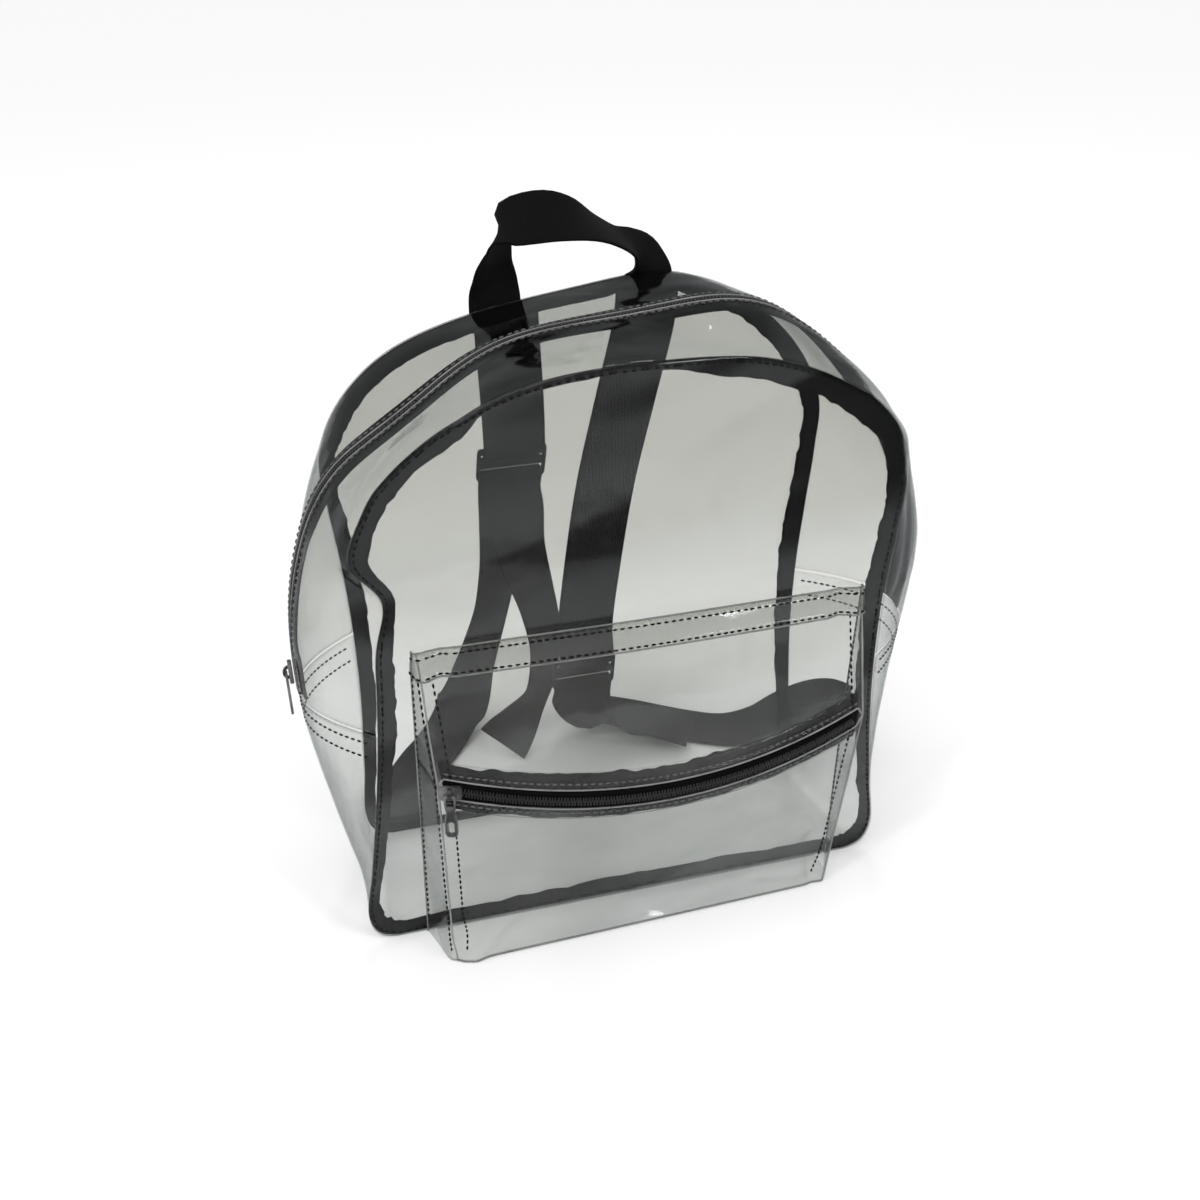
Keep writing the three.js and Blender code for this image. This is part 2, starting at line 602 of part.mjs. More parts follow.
// The pull hangs from a bar in the slider's tunnel and has an oval slot at its lower end
function pull(seat) {
  const { width, length, thick, bar, corner } = PULL;
  const top = PULL_AXIS.down - bar / 2;
  const shape = roundedRectangle(new THREE.Shape(), -width / 2, -length, width / 2, -top, corner);
  const hole = (half, low, high, radius) => {
    shape.holes.push(roundedRectangle(new THREE.Path(), -half, low, half, high, radius));
  };
  hole(PULL_WINDOW.width / 2, -PULL_WINDOW.end, -top - bar, PULL_WINDOW.corner);
  hole(PULL_SLOT.width / 2, -PULL_SLOT.to, -PULL_SLOT.from, PULL_SLOT.corner);
  const flat = plate(shape, PULL_AXIS.out - thick / 2, PULL_AXIS.out + thick / 2);
  return placed(flat, seat.middle, seat.hinge, seat.out);
}

// Where a slider sits: its middle on the zip, the way out and the hinge of its pull
function seatOf(middle, out, acrossHinge) {
  const down = vector(0, 0, -1).addScaledVector(out, out.z).normalize();
  return { middle, out, hinge: down.clone().cross(out).negate(), down, acrossHinge };
}

function mainSeat() {
  const at = (u, v) => onGusset(MAIN_SLIDER_STATION + u, v);
  return seatOf(at(0, 0.5), wayOut(at, 0, 0.5), true);
}

function pocketSeat() {
  const at = (share) => dented(onPocket(share, zipHeight));
  const near = 0.01;
  const along = at(POCKET_SHARE.slider + near).sub(at(POCKET_SHARE.slider - near));
  const out = along.cross(vector(0, 0, 1)).normalize();
  return seatOf(at(POCKET_SHARE.slider), out, false);
}

const MATERIALS = {
  film: { color: 0xd6d8d4, roughness: 0.12, metalness: 0, transparent: true, opacity: 0.25 },
  tape: { color: 0x16171a, roughness: 0.85, metalness: 0 },
  webbing: { color: 0x121316, roughness: 0.8, metalness: 0 },
  coil: { color: 0x0e0f11, roughness: 0.45, metalness: 0 },
  paintedMetal: { color: 0x141416, roughness: 0.35, metalness: 0.6 },
  plastic: { color: 0x111214, roughness: 0.4, metalness: 0 },
};

const backpack = new THREE.Group();
backpack.name = "clear_backpack";

function add(name, geometry, look) {
  geometry.computeVertexNormals();
  const mesh = new THREE.Mesh(geometry, new THREE.MeshStandardMaterial(MATERIALS[look]));
  mesh.name = name;
  backpack.add(mesh);
}

const zipEnd = STATIONS - ZIP_END;
const seamNear = () => SEAM_SHARE;
const seamFar = () => 1 - SEAM_SHARE;
const besideZip = (way) => (station) => zipShare(station, way * zipGap(station));
const fromZip = (distance) => (station) => zipShare(station, distance);
const alongZip = (near, far, rows, thick, lift) => {
  return gussetStrip(ZIP_END, zipEnd, near, far, rows, thick, lift);
};
const wall = (from, to) => gussetStrip(from, to, seamNear, seamFar, BASE_ROWS, FILM, 0);
const baseEnd = BASE_TURN - BASE_TURN_GAP;
const sideFoot = BASE_TURN + BASE_TURN_GAP;
const sideTop = ZIP_END - CROSS_SEAM_GAP;
const underFilm = -FILM - TAPE_DROP;

add("front_panel", panel(FRONT, "front", 1), "film");
add("back_panel", panel(BACK, "back", -1), "film");
add("base_gusset", wall(-baseEnd, baseEnd), "film");
add("left_side_gusset", wall(sideFoot, sideTop), "film");
add("right_side_gusset", wall(STATIONS - sideTop, STATIONS - sideFoot), "film");
add("upper_gusset_front", alongZip(seamNear, besideZip(-1), GUSSET_ROWS, FILM, 0), "film");
add("upper_gusset_back", alongZip(besideZip(1), seamFar, GUSSET_ROWS, FILM, 0), "film");
add("front_binding", binding(FRONT, "front", 1), "tape");
add("back_binding", binding(BACK, "back", -1), "tape");
const mainTape = alongZip(fromZip(-TAPE_HALF), fromZip(TAPE_HALF), TAPE_ROWS, TAPE_THICK, underFilm);
add("main_zipper_tape", mainTape, "tape");
const mainCoil = alongZip(fromZip(-COIL_HALF), fromZip(COIL_HALF), 1, COIL_THICK, COIL_RISE);
add("main_zipper_coil", mainCoil, "coil");
add("pocket_body", pocketBody(), "film");
add("pocket_flap", pocketFlap(), "film");
add("pocket_zipper_tape", pocketZipStrip(TAPE_HALF, POCKET_SHARE.tape, TAPE_THICK, underFilm), "tape");
add("pocket_zipper_coil", pocketZipStrip(COIL_HALF, POCKET_SHARE.coil, COIL_THICK, COIL_RISE), "coil");
add("handle", ribbon(HANDLE_ROWS, HANDLE_WIDTH, HANDLE_STEPS), "webbing");
for (const side of ["left", "right"]) {
  add(`${side}_shoulder_strap`, shoulderStrap(side), "webbing");
  add(`${side}_lower_strap`, lowerStrap(side), "webbing");
  add(`${side}_adjuster`, adjuster(side), "plastic");
}
for (const [name, seat] of [["main", mainSeat()], ["pocket", pocketSeat()]]) {
  add(`${name}_slider`, slider(seat), "paintedMetal");
  add(`${name}_pull`, pull(seat), "paintedMetal");
}

export default backpack;
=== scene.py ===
# %% [markdown]
# # A clear backpack
# The real bag is sewn from see-through PVC sheet. Black tape binds its seams, black zips close it, and it
# has a webbing handle and two slack webbing straps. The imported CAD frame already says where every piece
# goes, so each step below makes one finished piece in the place of its plain solid.

# %% Load the frame
import functools
import math

import bmesh
import bpy
from mathutils import Matrix, Quaternion, Vector, noise


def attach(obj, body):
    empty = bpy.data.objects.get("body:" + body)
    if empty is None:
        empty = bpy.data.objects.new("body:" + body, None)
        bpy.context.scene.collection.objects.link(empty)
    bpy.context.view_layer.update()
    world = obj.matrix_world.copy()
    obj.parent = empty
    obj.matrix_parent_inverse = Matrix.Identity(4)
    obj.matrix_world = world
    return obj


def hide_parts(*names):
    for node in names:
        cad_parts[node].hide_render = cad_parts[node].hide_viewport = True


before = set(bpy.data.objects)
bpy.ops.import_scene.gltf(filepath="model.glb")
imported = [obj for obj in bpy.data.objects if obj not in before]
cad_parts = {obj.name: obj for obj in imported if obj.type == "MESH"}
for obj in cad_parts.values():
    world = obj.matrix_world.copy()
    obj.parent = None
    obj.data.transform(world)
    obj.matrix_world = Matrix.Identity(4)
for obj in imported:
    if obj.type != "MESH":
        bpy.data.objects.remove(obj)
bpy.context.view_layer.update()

# %% [markdown]
# ## Camera
# The bag stands turned a little to its right and is seen from above. A camera could be dragged until it
# looks right, but a focal length, a direction and a target are easier to read and to change.

# %% Place the camera
IMAGE_WIDTH = 1200
SENSOR_WIDTH = 36
FOCAL_PIXELS = 1494.092
VIEW = {"azimuth": -15.902, "elevation": 28.229, "distance": 0.887578, "roll": -0.647}
TARGET = Vector((-0.002429, 0, 0.179321))


def add_camera():
    azimuth, elevation = math.radians(VIEW["azimuth"]), math.radians(VIEW["elevation"])
    level = math.cos(elevation)
    back = Vector((math.sin(azimuth) * level, -math.cos(azimuth) * level, math.sin(elevation)))
    data = bpy.data.cameras.new("camera")
    data.sensor_width = SENSOR_WIDTH
    data.lens = SENSOR_WIDTH * FOCAL_PIXELS / IMAGE_WIDTH
    camera = bpy.data.objects.new("camera", data)
    camera.location = TARGET + back * VIEW["distance"]
    camera.rotation_mode = "QUATERNION"
    roll = Quaternion((0, 0, 1), math.radians(VIEW["roll"]))
    camera.rotation_quaternion = (-back).to_track_quat("-Z", "Y") @ roll
    bpy.context.scene.collection.objects.link(camera)
    bpy.context.scene.camera = camera
    return camera


print("camera lens", round(add_camera().data.lens, 2), "mm")

# %% [markdown]
# ## The bag's lines
# Three lines run round the bag: the front seam, the line of the main zip and the back seam. Each passes
# smoothly through a short table of half widths. Everything sewn to the bag is measured from them, in
# millimetres, so one change moves all of it together.

# %% Smooth lines round the bag
BASE_CORNER = 16
BASE_BEND = 4.8
# A length or share too small to matter
TINY = 1e-6
LEVELS = (0.05, 0.15, 0.3, 0.45, 0.57, 0.67, 0.76, 0.85, 0.93, 0.985)
LINES = {
    "front": {
        "height": 354, "base_y": -51, "top_y": -82,
        "half_widths": (161, 157, 151, 147, 146, 149, 150, 139, 108, 60),
    },
    "middle": {
        "height": 356, "base_y": 0, "top_y": -12,
        "half_widths": (153, 166, 178, 184, 183, 176, 164, 143, 112, 62),
    },
    "back": {
        "height": 355, "base_y": 52, "top_y": 52,
        "half_widths": (148, 146, 144, 145, 148, 152, 154, 141, 113, 64),
    },
}


def smooth_line(points, closed):
    """A curve through the points, with its bends spread by the roots of the distances."""
    count = len(points)

    def neighbour(index):
        if closed:
            return points[index % count]
        if index < 0:
            return points[0] * 2 - points[1]
        if index >= count:
            return points[-1] * 2 - points[-2]
        return points[index]

    def at(station):
        first = math.floor(station)
        if not closed:
            first = min(max(first, 0), count - 2)
        share = station - first
        p0, p1, p2, p3 = (neighbour(first + step) for step in (-1, 0, 1, 2))
        d0, d1, d2 = (max((b - a).length, TINY) ** 0.5 for a, b in ((p0, p1), (p1, p2), (p2, p3)))
        start = ((p1 - p0) / d0 - (p2 - p0) / (d0 + d1) + (p2 - p1) / d1) * d1
        end = ((p2 - p1) / d1 - (p3 - p1) / (d1 + d2) + (p3 - p2) / d2) * d1
        square = p2 * 3 - p1 * 3 - start * 2 - end
        cube = p1 * 2 - p2 * 2 + start + end
        return p1 + start * share + square * share ** 2 + cube * share ** 3

    return at


def line_points(name):
    row = LINES[name]
    lean = (row["top_y"] - row["base_y"]) / row["height"]

    def place(x, z):
        return Vector((x, row["base_y"] + lean * z, z))

    half = row["half_widths"][0]
    left = [place(-half / 2, 0), place(-half + BASE_CORNER, 0), place(-half + BASE_BEND, BASE_BEND)]
    left += [place(-width, level * row["height"]) for level, width in zip(LEVELS, row["half_widths"])]
    right = [Vector((-point.x, point.y, point.z)) for point in reversed(left)]
    return [place(0, 0), *left, place(0, row["height"]), *right]


CURVES = {name: smooth_line(line_points(name), True) for name in LINES}
STATIONS = len(line_points("front"))
TOP_STATION = STATIONS / 2
# Stations are rounded, so that pieces that meet are looked up at the very same place
STATION_DIGITS = 6


@functools.lru_cache(maxsize=None)
def on_line(name, station):
    point = CURVES[name](station % STATIONS)
    return Vector((point.x, point.y, max(point.z, 0)))


print("stations on each line", STATIONS)

# %% [markdown]
# ## Folds in the film
# A soft bag that stands empty leans and buckles. The wide dents come from the CAD model. The narrow folds
# are the creases that the film keeps from being packed flat. Each is a push that fades with the distance
# from a point or a line, and it moves film, tape and stitches alike, so nothing comes apart.

# %% Dents and folds
# Place, reach and push of each dent
DENTS = [
    ((-150, -71, 232), 20, (11, 7, 0)),
    ((-155, -70, 262), 24, (-6, -2, 0)),
    ((-120, -10, 330), 46, (5, -4, -10)),
    ((-60, 45, 352), 55, (0, 0, -5)),
    ((82, -14, 352), 50, (5, 0, 11)),
    ((148, -40, 308), 42, (6, 0, 6)),
    ((184, -12, 212), 58, (11, 0, 0)),
    ((0, -76, 285), 60, (0, -6, 0)),
    ((55, 52, 355), 45, (0, 0, 6)),
]
# Start, end, half width and push of each fold
FOLDS = [
    ((-150, -78, 226), (-96, -74, 219), 5, (0, 2.2, -1.5)),
    ((-150, -78, 240), (-104, -76, 236), 6, (0, -2.0, 0)),
    ((148, -66, 298), (150, -58, 196), 5, (2.2, -2.4, 0)),
    ((158, -48, 300), (161, -46, 190), 6, (2.6, -1.8, 0)),
    ((140, -74, 292), (120, -78, 318), 6, (0, -2.2, 1.2)),
    ((60, -80, 332), (92, -80, 300), 7, (0, -2.0, 0)),
    ((-92, -80, 330), (-60, -80, 292), 8, (0, -1.8, 0)),
    ((-146, -76, 300), (-92, -78, 268), 9, (0, 1.8, 0)),
    ((-168, -30, 250), (-176, -20, 190), 9, (-3, 0, 0)),
    ((172, 10, 262), (184, 18, 180), 9, (3.4, 0, 0)),
    ((166, -30, 300), (171, -28, 190), 6, (3, -1, 0)),
    ((-124, -72, 201), (-119, -97, 152), 4, (1.5, -2.5, 0)),
    ((-111, -74, 201), (-115, -99, 152), 4, (0, 2.2, 0)),
    ((128, -72, 201), (121, -94, 160), 4, (-1.2, -2.4, 0)),
    ((116, -74, 201), (111, -97, 158), 4, (0, 2.2, 0)),
    ((-40, -98, 178), (30, -104, 168), 7, (0, -1.6, 0.8)),
    ((40, -94, 184), (96, -92, 172), 6, (0, -1.8, 0)),
    ((-117, -86, 2), (-107, -90, 32), 4, (2, 2.6, 0)),
    ((-104, -86, 2), (-86, -92, 28), 5, (0, -2.2, 0)),
    ((112, -78, 4), (104, -84, 44), 4, (-1.6, 2.4, 0)),
    ((70, -84, 22), (98, -82, 12), 5, (0, -2, 0)),
]
# A fold's push has died away at this many half widths from it
FADED = 3


def clamp(value):
    return min(max(value, 0), 1)


def near_line(point, start, end):
    along = end - start
    share = clamp((point - start).dot(along) / along.length_squared)
    return (point - start - along * share).length


dents = [(Vector(place), reach, Vector(push)) for place, reach, push in DENTS]
folds = [(Vector(start), Vector(end), half, Vector(push)) for start, end, half, push in FOLDS]


def dented(point):
    moved = point.copy()
    for place, reach, push in dents:
        moved += push * math.exp(-((point - place).length / reach) ** 2)
    for start, end, half, push in folds:
        away = near_line(point, start, end) / half
        if away < FADED:
            moved += push * math.exp(-away * away)
    moved.z = max(moved.z, 0)
    return moved


print(len(dents), "dents and", len(folds), "folds")

# %% [markdown]
# ## Gusset and panels to measure from
# The gusset is the strip between the two seams, curved over the zip line. Each panel is stretched from its
# middle to its seam. A mesh drawn by hand would fix their detail for good. Functions that return a point
# on a surface leave it open: the pieces are grids laid over them, each as fine as it needs to be.

# %% Points on the gusset and the panels
# Station of the main zip's ends, and half its opening in the film at the top and at the ends
ZIP_END = 6.87
ZIP_GAP_TOP, ZIP_GAP_END = 3.2, 5.2


def mix(a, b, share):
    return a + (b - a) * share


def soft_step(value):
    value = clamp(value)
    return value * value * (3 - 2 * value)


def on_gusset(station, share):
    """A point on the arc from the front seam, over the zip line, to the back seam."""
    point = on_line("front", station) * (2 * (share - 0.5) * (share - 1))
    point += on_line("middle", station) * (4 * share * (1 - share))
    point += on_line("back", station) * (2 * share * (share - 0.5))
    return dented(point)


def gusset_share(station, distance):
    """The share across the gusset at a distance behind the zip line."""
    return 0.5 + distance / (on_line("front", station) - on_line("back", station)).length


def zip_gap(station):
    return mix(ZIP_GAP_TOP, ZIP_GAP_END, abs(station - TOP_STATION) / (TOP_STATION - ZIP_END))


def panel_middle(name):
    row = LINES[name]
    return Vector((0, (row["base_y"] + row["top_y"]) / 2, row["height"] / 2))


def on_panel(name, ring, station):
    return dented(panel_middle(name).lerp(on_line(name, station), ring))


print("zip line at the top", [round(value) for value in on_gusset(TOP_STATION, 0.5)])

# %% [markdown]
# ## The pocket's faces
# The pocket is a box whose face bellies out at its zip and leans back to the panel above it. Its sheet
# runs from the left side over the face to the right side, so one share says how far round a point lies,
# and a height says how far up. Each point is averaged with its neighbours, which rounds the upright edges
# as folded film is rounded.

# %% Points on the pocket
# Heights, depths and, in pairs, what differs between the left and the right
POCKET = {
    "foot": 0.6, "top": 204, "zip": 133, "zip_sag": 16, "zip_belly": 21,
    "back": (-127, 131), "foot_ends": (-118, 119), "zip_ends": (-122, 128),
    "foot_depth": (34, 26), "zip_depth": 32, "top_depth": 2.2, "flap_curve": 0.9, "off": 0.75,
}
# Share of the sheet that lies on each side of the box, and how far its folds reach
SIDE_SHARE, FOLD_REACH = 0.2, 0.012
# Half the zip's opening on the face and on the sides, and the share over which it opens
POCKET_ZIP_GAP, POCKET_SIDE_GAP, POCKET_ZIP_OPEN = 5.8, 0.4, 0.012


def front_y(z):
    row = LINES["front"]
    return mix(row["base_y"], row["top_y"], z / row["height"])


def pocket_zip_height(side):
    return POCKET["zip"] - POCKET["zip_sag"] * (1 - side * side)


def pocket_depth(side, z):
    top, zip_height = POCKET["top"], pocket_zip_height(side)
    zip_depth = POCKET["zip_depth"] + POCKET["zip_belly"] * (1 - side * side)
    if z <= zip_height:
        return mix(mix(*POCKET["foot_depth"], (side + 1) / 2), zip_depth, z / zip_height)
    share = max((top - z) / (top - zip_height), 0)
    return mix(POCKET["top_depth"], zip_depth, share ** POCKET["flap_curve"])


def pocket_side(share):
    """From -1 at the left end of the pocket's face to 1 at its right end."""
    return clamp((share - SIDE_SHARE) / (1 - 2 * SIDE_SHARE)) * 2 - 1


def on_sharp_pocket(share, height):
    side = pocket_side(share)
    z = height(side)
    level = min(z / POCKET["zip"], 1)
    rise = clamp((z - POCKET["zip"]) / (POCKET["top"] - POCKET["zip"]))
    back_left, back_right = POCKET["back"]
    ends = zip(POCKET["foot_ends"], POCKET["zip_ends"], POCKET["back"])
    left, right = (mix(mix(foot, at_zip, level), back, rise) for foot, at_zip, back in ends)
    back, depth = front_y(z) - POCKET["off"], pocket_depth(side, z)
    if share < SIDE_SHARE:
        out = share / SIDE_SHARE
        return Vector((mix(back_left, left, out), back - out * depth, z))
    if share > 1 - SIDE_SHARE:
        out = (1 - share) / SIDE_SHARE
        return Vector((mix(back_right, right, out), back - out * depth, z))
    return Vector((mix(left, right, (side + 1) / 2), back - depth, z))


def on_pocket(share, height):
    """The pocket's outer face, with its upright edges rounded."""
    reach = min(FOLD_REACH, share, 1 - share)
    point = on_sharp_pocket(share, height) * 0.5
    point += on_sharp_pocket(share - reach, height) * 0.25
    point += on_sharp_pocket(share + reach, height) * 0.25
    return dented(point)


def pocket_gap(share):
    inside = min(share, 1 - share) - SIDE_SHARE
    return mix(POCKET_SIDE_GAP, POCKET_ZIP_GAP, soft_step(inside / POCKET_ZIP_OPEN))


print("middle of the pocket's zip", [round(value) for value in on_pocket(0.5, pocket_zip_height)])

# %% [markdown]
# ## Node helpers
# A material is a small network of nodes. Writing every node and link on lines of their own hides what the
# network does, so one helper adds a node, sets its values and links what feeds it.

# %% Add nodes and groups
def add_node(tree, kind, values=None, **settings):
    node = tree.nodes.new("ShaderNode" + kind)
    for name, value in settings.items():
        setattr(node, name, value)
    for socket, value in (values or {}).items():
        if isinstance(value, bpy.types.NodeSocket):
            tree.links.new(value, node.inputs[socket])
        else:
            node.inputs[socket].default_value = value
    return node


def math_node(tree, operation, first, second=0.0, third=0.0):
    return add_node(tree, "Math", {0: first, 1: second, 2: third}, operation=operation).outputs[0]


def scaled(tree, value, low, high):
    """The value from 0 to 1 carried to the range from low to high."""
    return add_node(tree, "MapRange", {"Value": value, "To Min": low, "To Max": high}).outputs["Result"]


def start_group(name, inputs, outputs):
    group = bpy.data.node_groups.new(name, "ShaderNodeTree")
    for socket, kind in inputs.items():
        group.interface.new_socket(name=socket, in_out="INPUT", socket_type=kind)
    for socket, kind in outputs.items():
        group.interface.new_socket(name=socket, in_out="OUTPUT", socket_type=kind)
    return group, group.nodes.new("NodeGroupInput").outputs, group.nodes.new("NodeGroupOutput").inputs


def start_material(name):
    material = bpy.data.materials.new(name)
    material.use_nodes = True
    tree = material.node_tree
    tree.nodes.clear()
    return material, tree, tree.nodes.new("ShaderNodeOutputMaterial").inputs["Surface"]


print("node helpers ready")

# %% [markdown]
# ## Weave and wear
# Webbing and zip tape are woven: warp threads run along them and weft threads cross, over one and under
# the next. Two sine waves from the strip's own UV map, which is in metres, give that relief at its true
# size. Handling leaves cloudy patches, which noise on Object coordinates gives. A picture of cloth would
# blur close up and show its border, so both effects are node groups that every material can share.

# %% Build the weave and scuff groups
VECTOR, VALUE = "NodeSocketVector", "NodeSocketFloat"
# How far threads rise and sink where they cross, and how flat their tops are
THREAD_RISE, THREAD_FLAT = 0.3, 0.6


def build_weave():
    group, given, result = start_group(
        "weave", {"UV": VECTOR, "Warps": VALUE, "Wefts": VALUE}, {"Height": VALUE, "Shade": VALUE})
    axes = add_node(group, "SeparateXYZ", {0: given["UV"]})
    along = math_node(group, "MULTIPLY", axes.outputs["X"], given["Wefts"])
    across = math_node(group, "MULTIPLY", axes.outputs["Y"], given["Warps"])
    odd_thread = math_node(group, "MODULO", math_node(group, "FLOOR", across), 2.0)
    shifted = math_node(group, "ADD", along, odd_thread)
    over = math_node(group, "SINE", math_node(group, "MULTIPLY", shifted, math.pi))
    within = math_node(group, "FRACT", across)
    thread = math_node(group, "SINE", math_node(group, "MULTIPLY", within, math.pi))
    round_thread = math_node(group, "POWER", thread, THREAD_FLAT)
    raised = math_node(group, "MULTIPLY_ADD", over, THREAD_RISE, 1 - THREAD_RISE)
    height = math_node(group, "MULTIPLY", raised, round_thread)
    group.links.new(height, result["Height"])
    fuzz = add_node(group, "TexNoise", {"Vector": given["UV"], "Scale": 900.0, "Detail": 2.0})
    # Shade is darker between the threads and lighter on their tops, a painted shade of the relief, times a
    # random fuzz
    group.links.new(math_node(group, "MULTIPLY", height, fuzz.outputs[0]), result["Shade"])
    return group


def build_scuffs():
    group, given, result = start_group("scuffs", {"Place": VECTOR, "Size": VALUE}, {"Cloud": VALUE})
    cloud = add_node(group, "TexNoise", {"Vector": given["Place"], "Scale": given["Size"], "Detail": 4.0})
    soft = add_node(group, "MapRange", {"Value": cloud.outputs[0], "From Min": 0.35, "From Max": 0.7})
    group.links.new(soft.outputs["Result"], result["Cloud"])
    return group


WEAVE = build_weave()
SCUFFS = build_scuffs()


def weave_in(tree, warps, wefts):
    uv = add_node(tree, "UVMap").outputs["UV"]
    return add_node(tree, "Group", {"UV": uv, "Warps": warps, "Wefts": wefts}, node_tree=WEAVE).outputs


def scuffs_in(tree, size):
    place = add_node(tree, "TexCoord").outputs["Object"]
    return add_node(tree, "Group", {"Place": place, "Size": size}, node_tree=SCUFFS).outputs["Cloud"]


print("groups", WEAVE.name, SCUFFS.name)

# %% [markdown]
# ## Relief of the film
# Film that was packed flat keeps soft ripples all over and sharper creases in patches. Modelling every
# crease would take far more faces than the look needs. Noise on Object coordinates gives a bump for the small
# relief, and a mask of broad slanting bands in which the film mirrors more, a painted reflection of the room.

# %% Ripples, creases and bands
RELIEF_DEPTH = 0.0016
CREASE_HEIGHT = 0.9
# Turn of the painted reflection bands, and their size along x, y and z in metres
BAND_TURN, BAND_SIZE = math.radians(-20), (0.3, 0.2, 0.06)


def film_relief(tree, place):
    """Soft ripples all over, with sharper creases in patches."""
    ripple = add_node(tree, "TexNoise", {"Vector": place, "Scale": 30.0, "Detail": 2.0, "Roughness": 0.45})
    ridges = add_node(tree, "TexNoise", {"Vector": place, "Scale": 13.0, "Detail": 1.0, "Distortion": 0.6},
                      noise_type="RIDGED_MULTIFRACTAL")
    patch = add_node(tree, "TexNoise", {"Vector": place, "Scale": 6.0, "Detail": 1.0})
    patches = add_node(tree, "MapRange", {"Value": patch.outputs[0], "From Min": 0.5, "From Max": 0.68})
    creases = math_node(tree, "MULTIPLY", ridges.outputs[0], patches.outputs["Result"])
    height = math_node(tree, "MULTIPLY_ADD", creases, CREASE_HEIGHT, ripple.outputs[0])
    return add_node(tree, "Bump", {"Height": height, "Distance": RELIEF_DEPTH, "Strength": 1.0}).outputs[0]


def painted_reflection_bands(tree, place):
    """A mask of broad slanting bands in which the film mirrors more: a painted reflection of the room."""
    slant = add_node(tree, "Mapping", {"Vector": place, "Rotation": (0, BAND_TURN, 0), "Scale": BAND_SIZE},
                     vector_type="TEXTURE")
    band = add_node(tree, "TexNoise", {"Vector": slant.outputs[0], "Scale": 1.0, "Detail": 1.0})
    edges = add_node(tree, "MapRange", {"Value": band.outputs[0], "From Min": 0.47, "From Max": 0.53})
    return edges.outputs["Result"]


print("relief of the film up to", RELIEF_DEPTH, "m")

# %% [markdown]
# ## Clear film
# PVC sheet lets most light through, greys it a little and mirrors its surroundings more as it turns
# edge-on. A glass shader with refraction is slow and noisy for so thin a sheet. A mix of transparent, hazy
# and mirror shaders, weighted by Layer Weight's Facing, gives the same look and stays clean. The film is
# clear and a little milky near the base. Towards the top it is greyed by painted shade, not by its own tint.

# %% Clear film material
# Heights in metres between which the tint changes, and its colours there: clear film below, painted shade
# above
TINT_FROM, TINT_TO = 0.12, 0.26
TINT_LOW, PAINTED_SHADE_TINT = (0.963, 0.966, 0.963, 1), (0.805, 0.808, 0.79, 1)
# Colour after a long way through the film, and how late it comes in as the film turns edge-on
DEEP_TINT, DEEP_POWER = (0.6, 0.61, 0.605, 1), 2.7
HAZE_COLOUR, HAZE_LOW, HAZE_HIGH = (0.86, 0.865, 0.85, 1), 0.018, 0.0008
# Shares of light that the film mirrors: head-on, head-on in a painted reflection band, and edge-on
MIRROR_PLAIN, MIRROR_PAINTED_BAND, MIRROR_EDGE = 0.004, 0.02, 0.3
MIRROR_COLOUR, MIRROR_POWER = (0.94, 0.97, 1, 1), 6.0
# Places of a Mix node's two colours and of its result among its sockets
MIX_A, MIX_B, MIX_RESULT = 6, 7, 2


def tint_with_painted_shade(tree, up, facing):
    # The ramp's upper colour is painted shade that greys the film towards the top
    tint = add_node(tree, "ValToRGB", {"Fac": up})
    tint.color_ramp.elements[0].color = TINT_LOW
    tint.color_ramp.elements[1].color = PAINTED_SHADE_TINT
    long_way = math_node(tree, "POWER", facing, DEEP_POWER)
    deep = add_node(tree, "Mix", {"Factor": long_way, MIX_A: tint.outputs["Color"], MIX_B: DEEP_TINT},
                    data_type="RGBA")
    return deep.outputs[MIX_RESULT]


def film_material():
    material, tree, surface = start_material("clear_film")
    place = add_node(tree, "TexCoord").outputs["Object"]
    cloud = scuffs_in(tree, 11.0)
    height = add_node(tree, "SeparateXYZ", {0: place}).outputs["Z"]
    # Share of the height: painted shade greys the film towards the top, and its haze thins
    rise = add_node(tree, "MapRange", {"Value": height, "From Min": TINT_FROM, "From Max": TINT_TO})
    up = rise.outputs["Result"]
    relief = film_relief(tree, place)
    facing = add_node(tree, "LayerWeight", {"Blend": 0.5, "Normal": relief}).outputs["Facing"]
    clear = add_node(tree, "BsdfTransparent", {"Color": tint_with_painted_shade(tree, up, facing)})
    haze = add_node(tree, "BsdfPrincipled", {"Base Color": HAZE_COLOUR, "Roughness": 0.5, "Normal": relief})
    patchy = scaled(tree, cloud, 0.4, 1.4)
    haze_share = math_node(tree, "MULTIPLY", scaled(tree, up, HAZE_LOW, HAZE_HIGH), patchy)
    body = add_node(tree, "MixShader", {0: haze_share, 1: clear.outputs[0], 2: haze.outputs[0]})
    mirror = add_node(tree, "BsdfGlossy", {
        "Color": MIRROR_COLOUR, "Roughness": scaled(tree, cloud, 0.04, 0.1), "Normal": relief})
    # Head-on, the film mirrors more inside the painted reflection bands
    head_on = scaled(tree, painted_reflection_bands(tree, place), MIRROR_PLAIN, MIRROR_PAINTED_BAND)
    edge_on = scaled(tree, math_node(tree, "POWER", facing, MIRROR_POWER), head_on, MIRROR_EDGE)
    final = add_node(tree, "MixShader", {0: edge_on, 1: body.outputs[0], 2: mirror.outputs[0]})
    tree.links.new(final.outputs[0], surface)
    return material


CLEAR_FILM = film_material()
print("material", CLEAR_FILM.name)

# %% [markdown]
# ## Cut edges of the film
# Where film is cut or folded, light runs along inside it and the edge looks like a grey line, whatever
# lies behind it. A full glass edge would need refraction again, so a half clear grey of painted shade stands
# for it.

# %% Film edge material
# The edge's grey is painted shade of light running inside the film
EDGE_CLEAR, EDGE_PAINTED_SHADE = (0.8, 0.81, 0.79, 1), (0.27, 0.275, 0.27, 1)


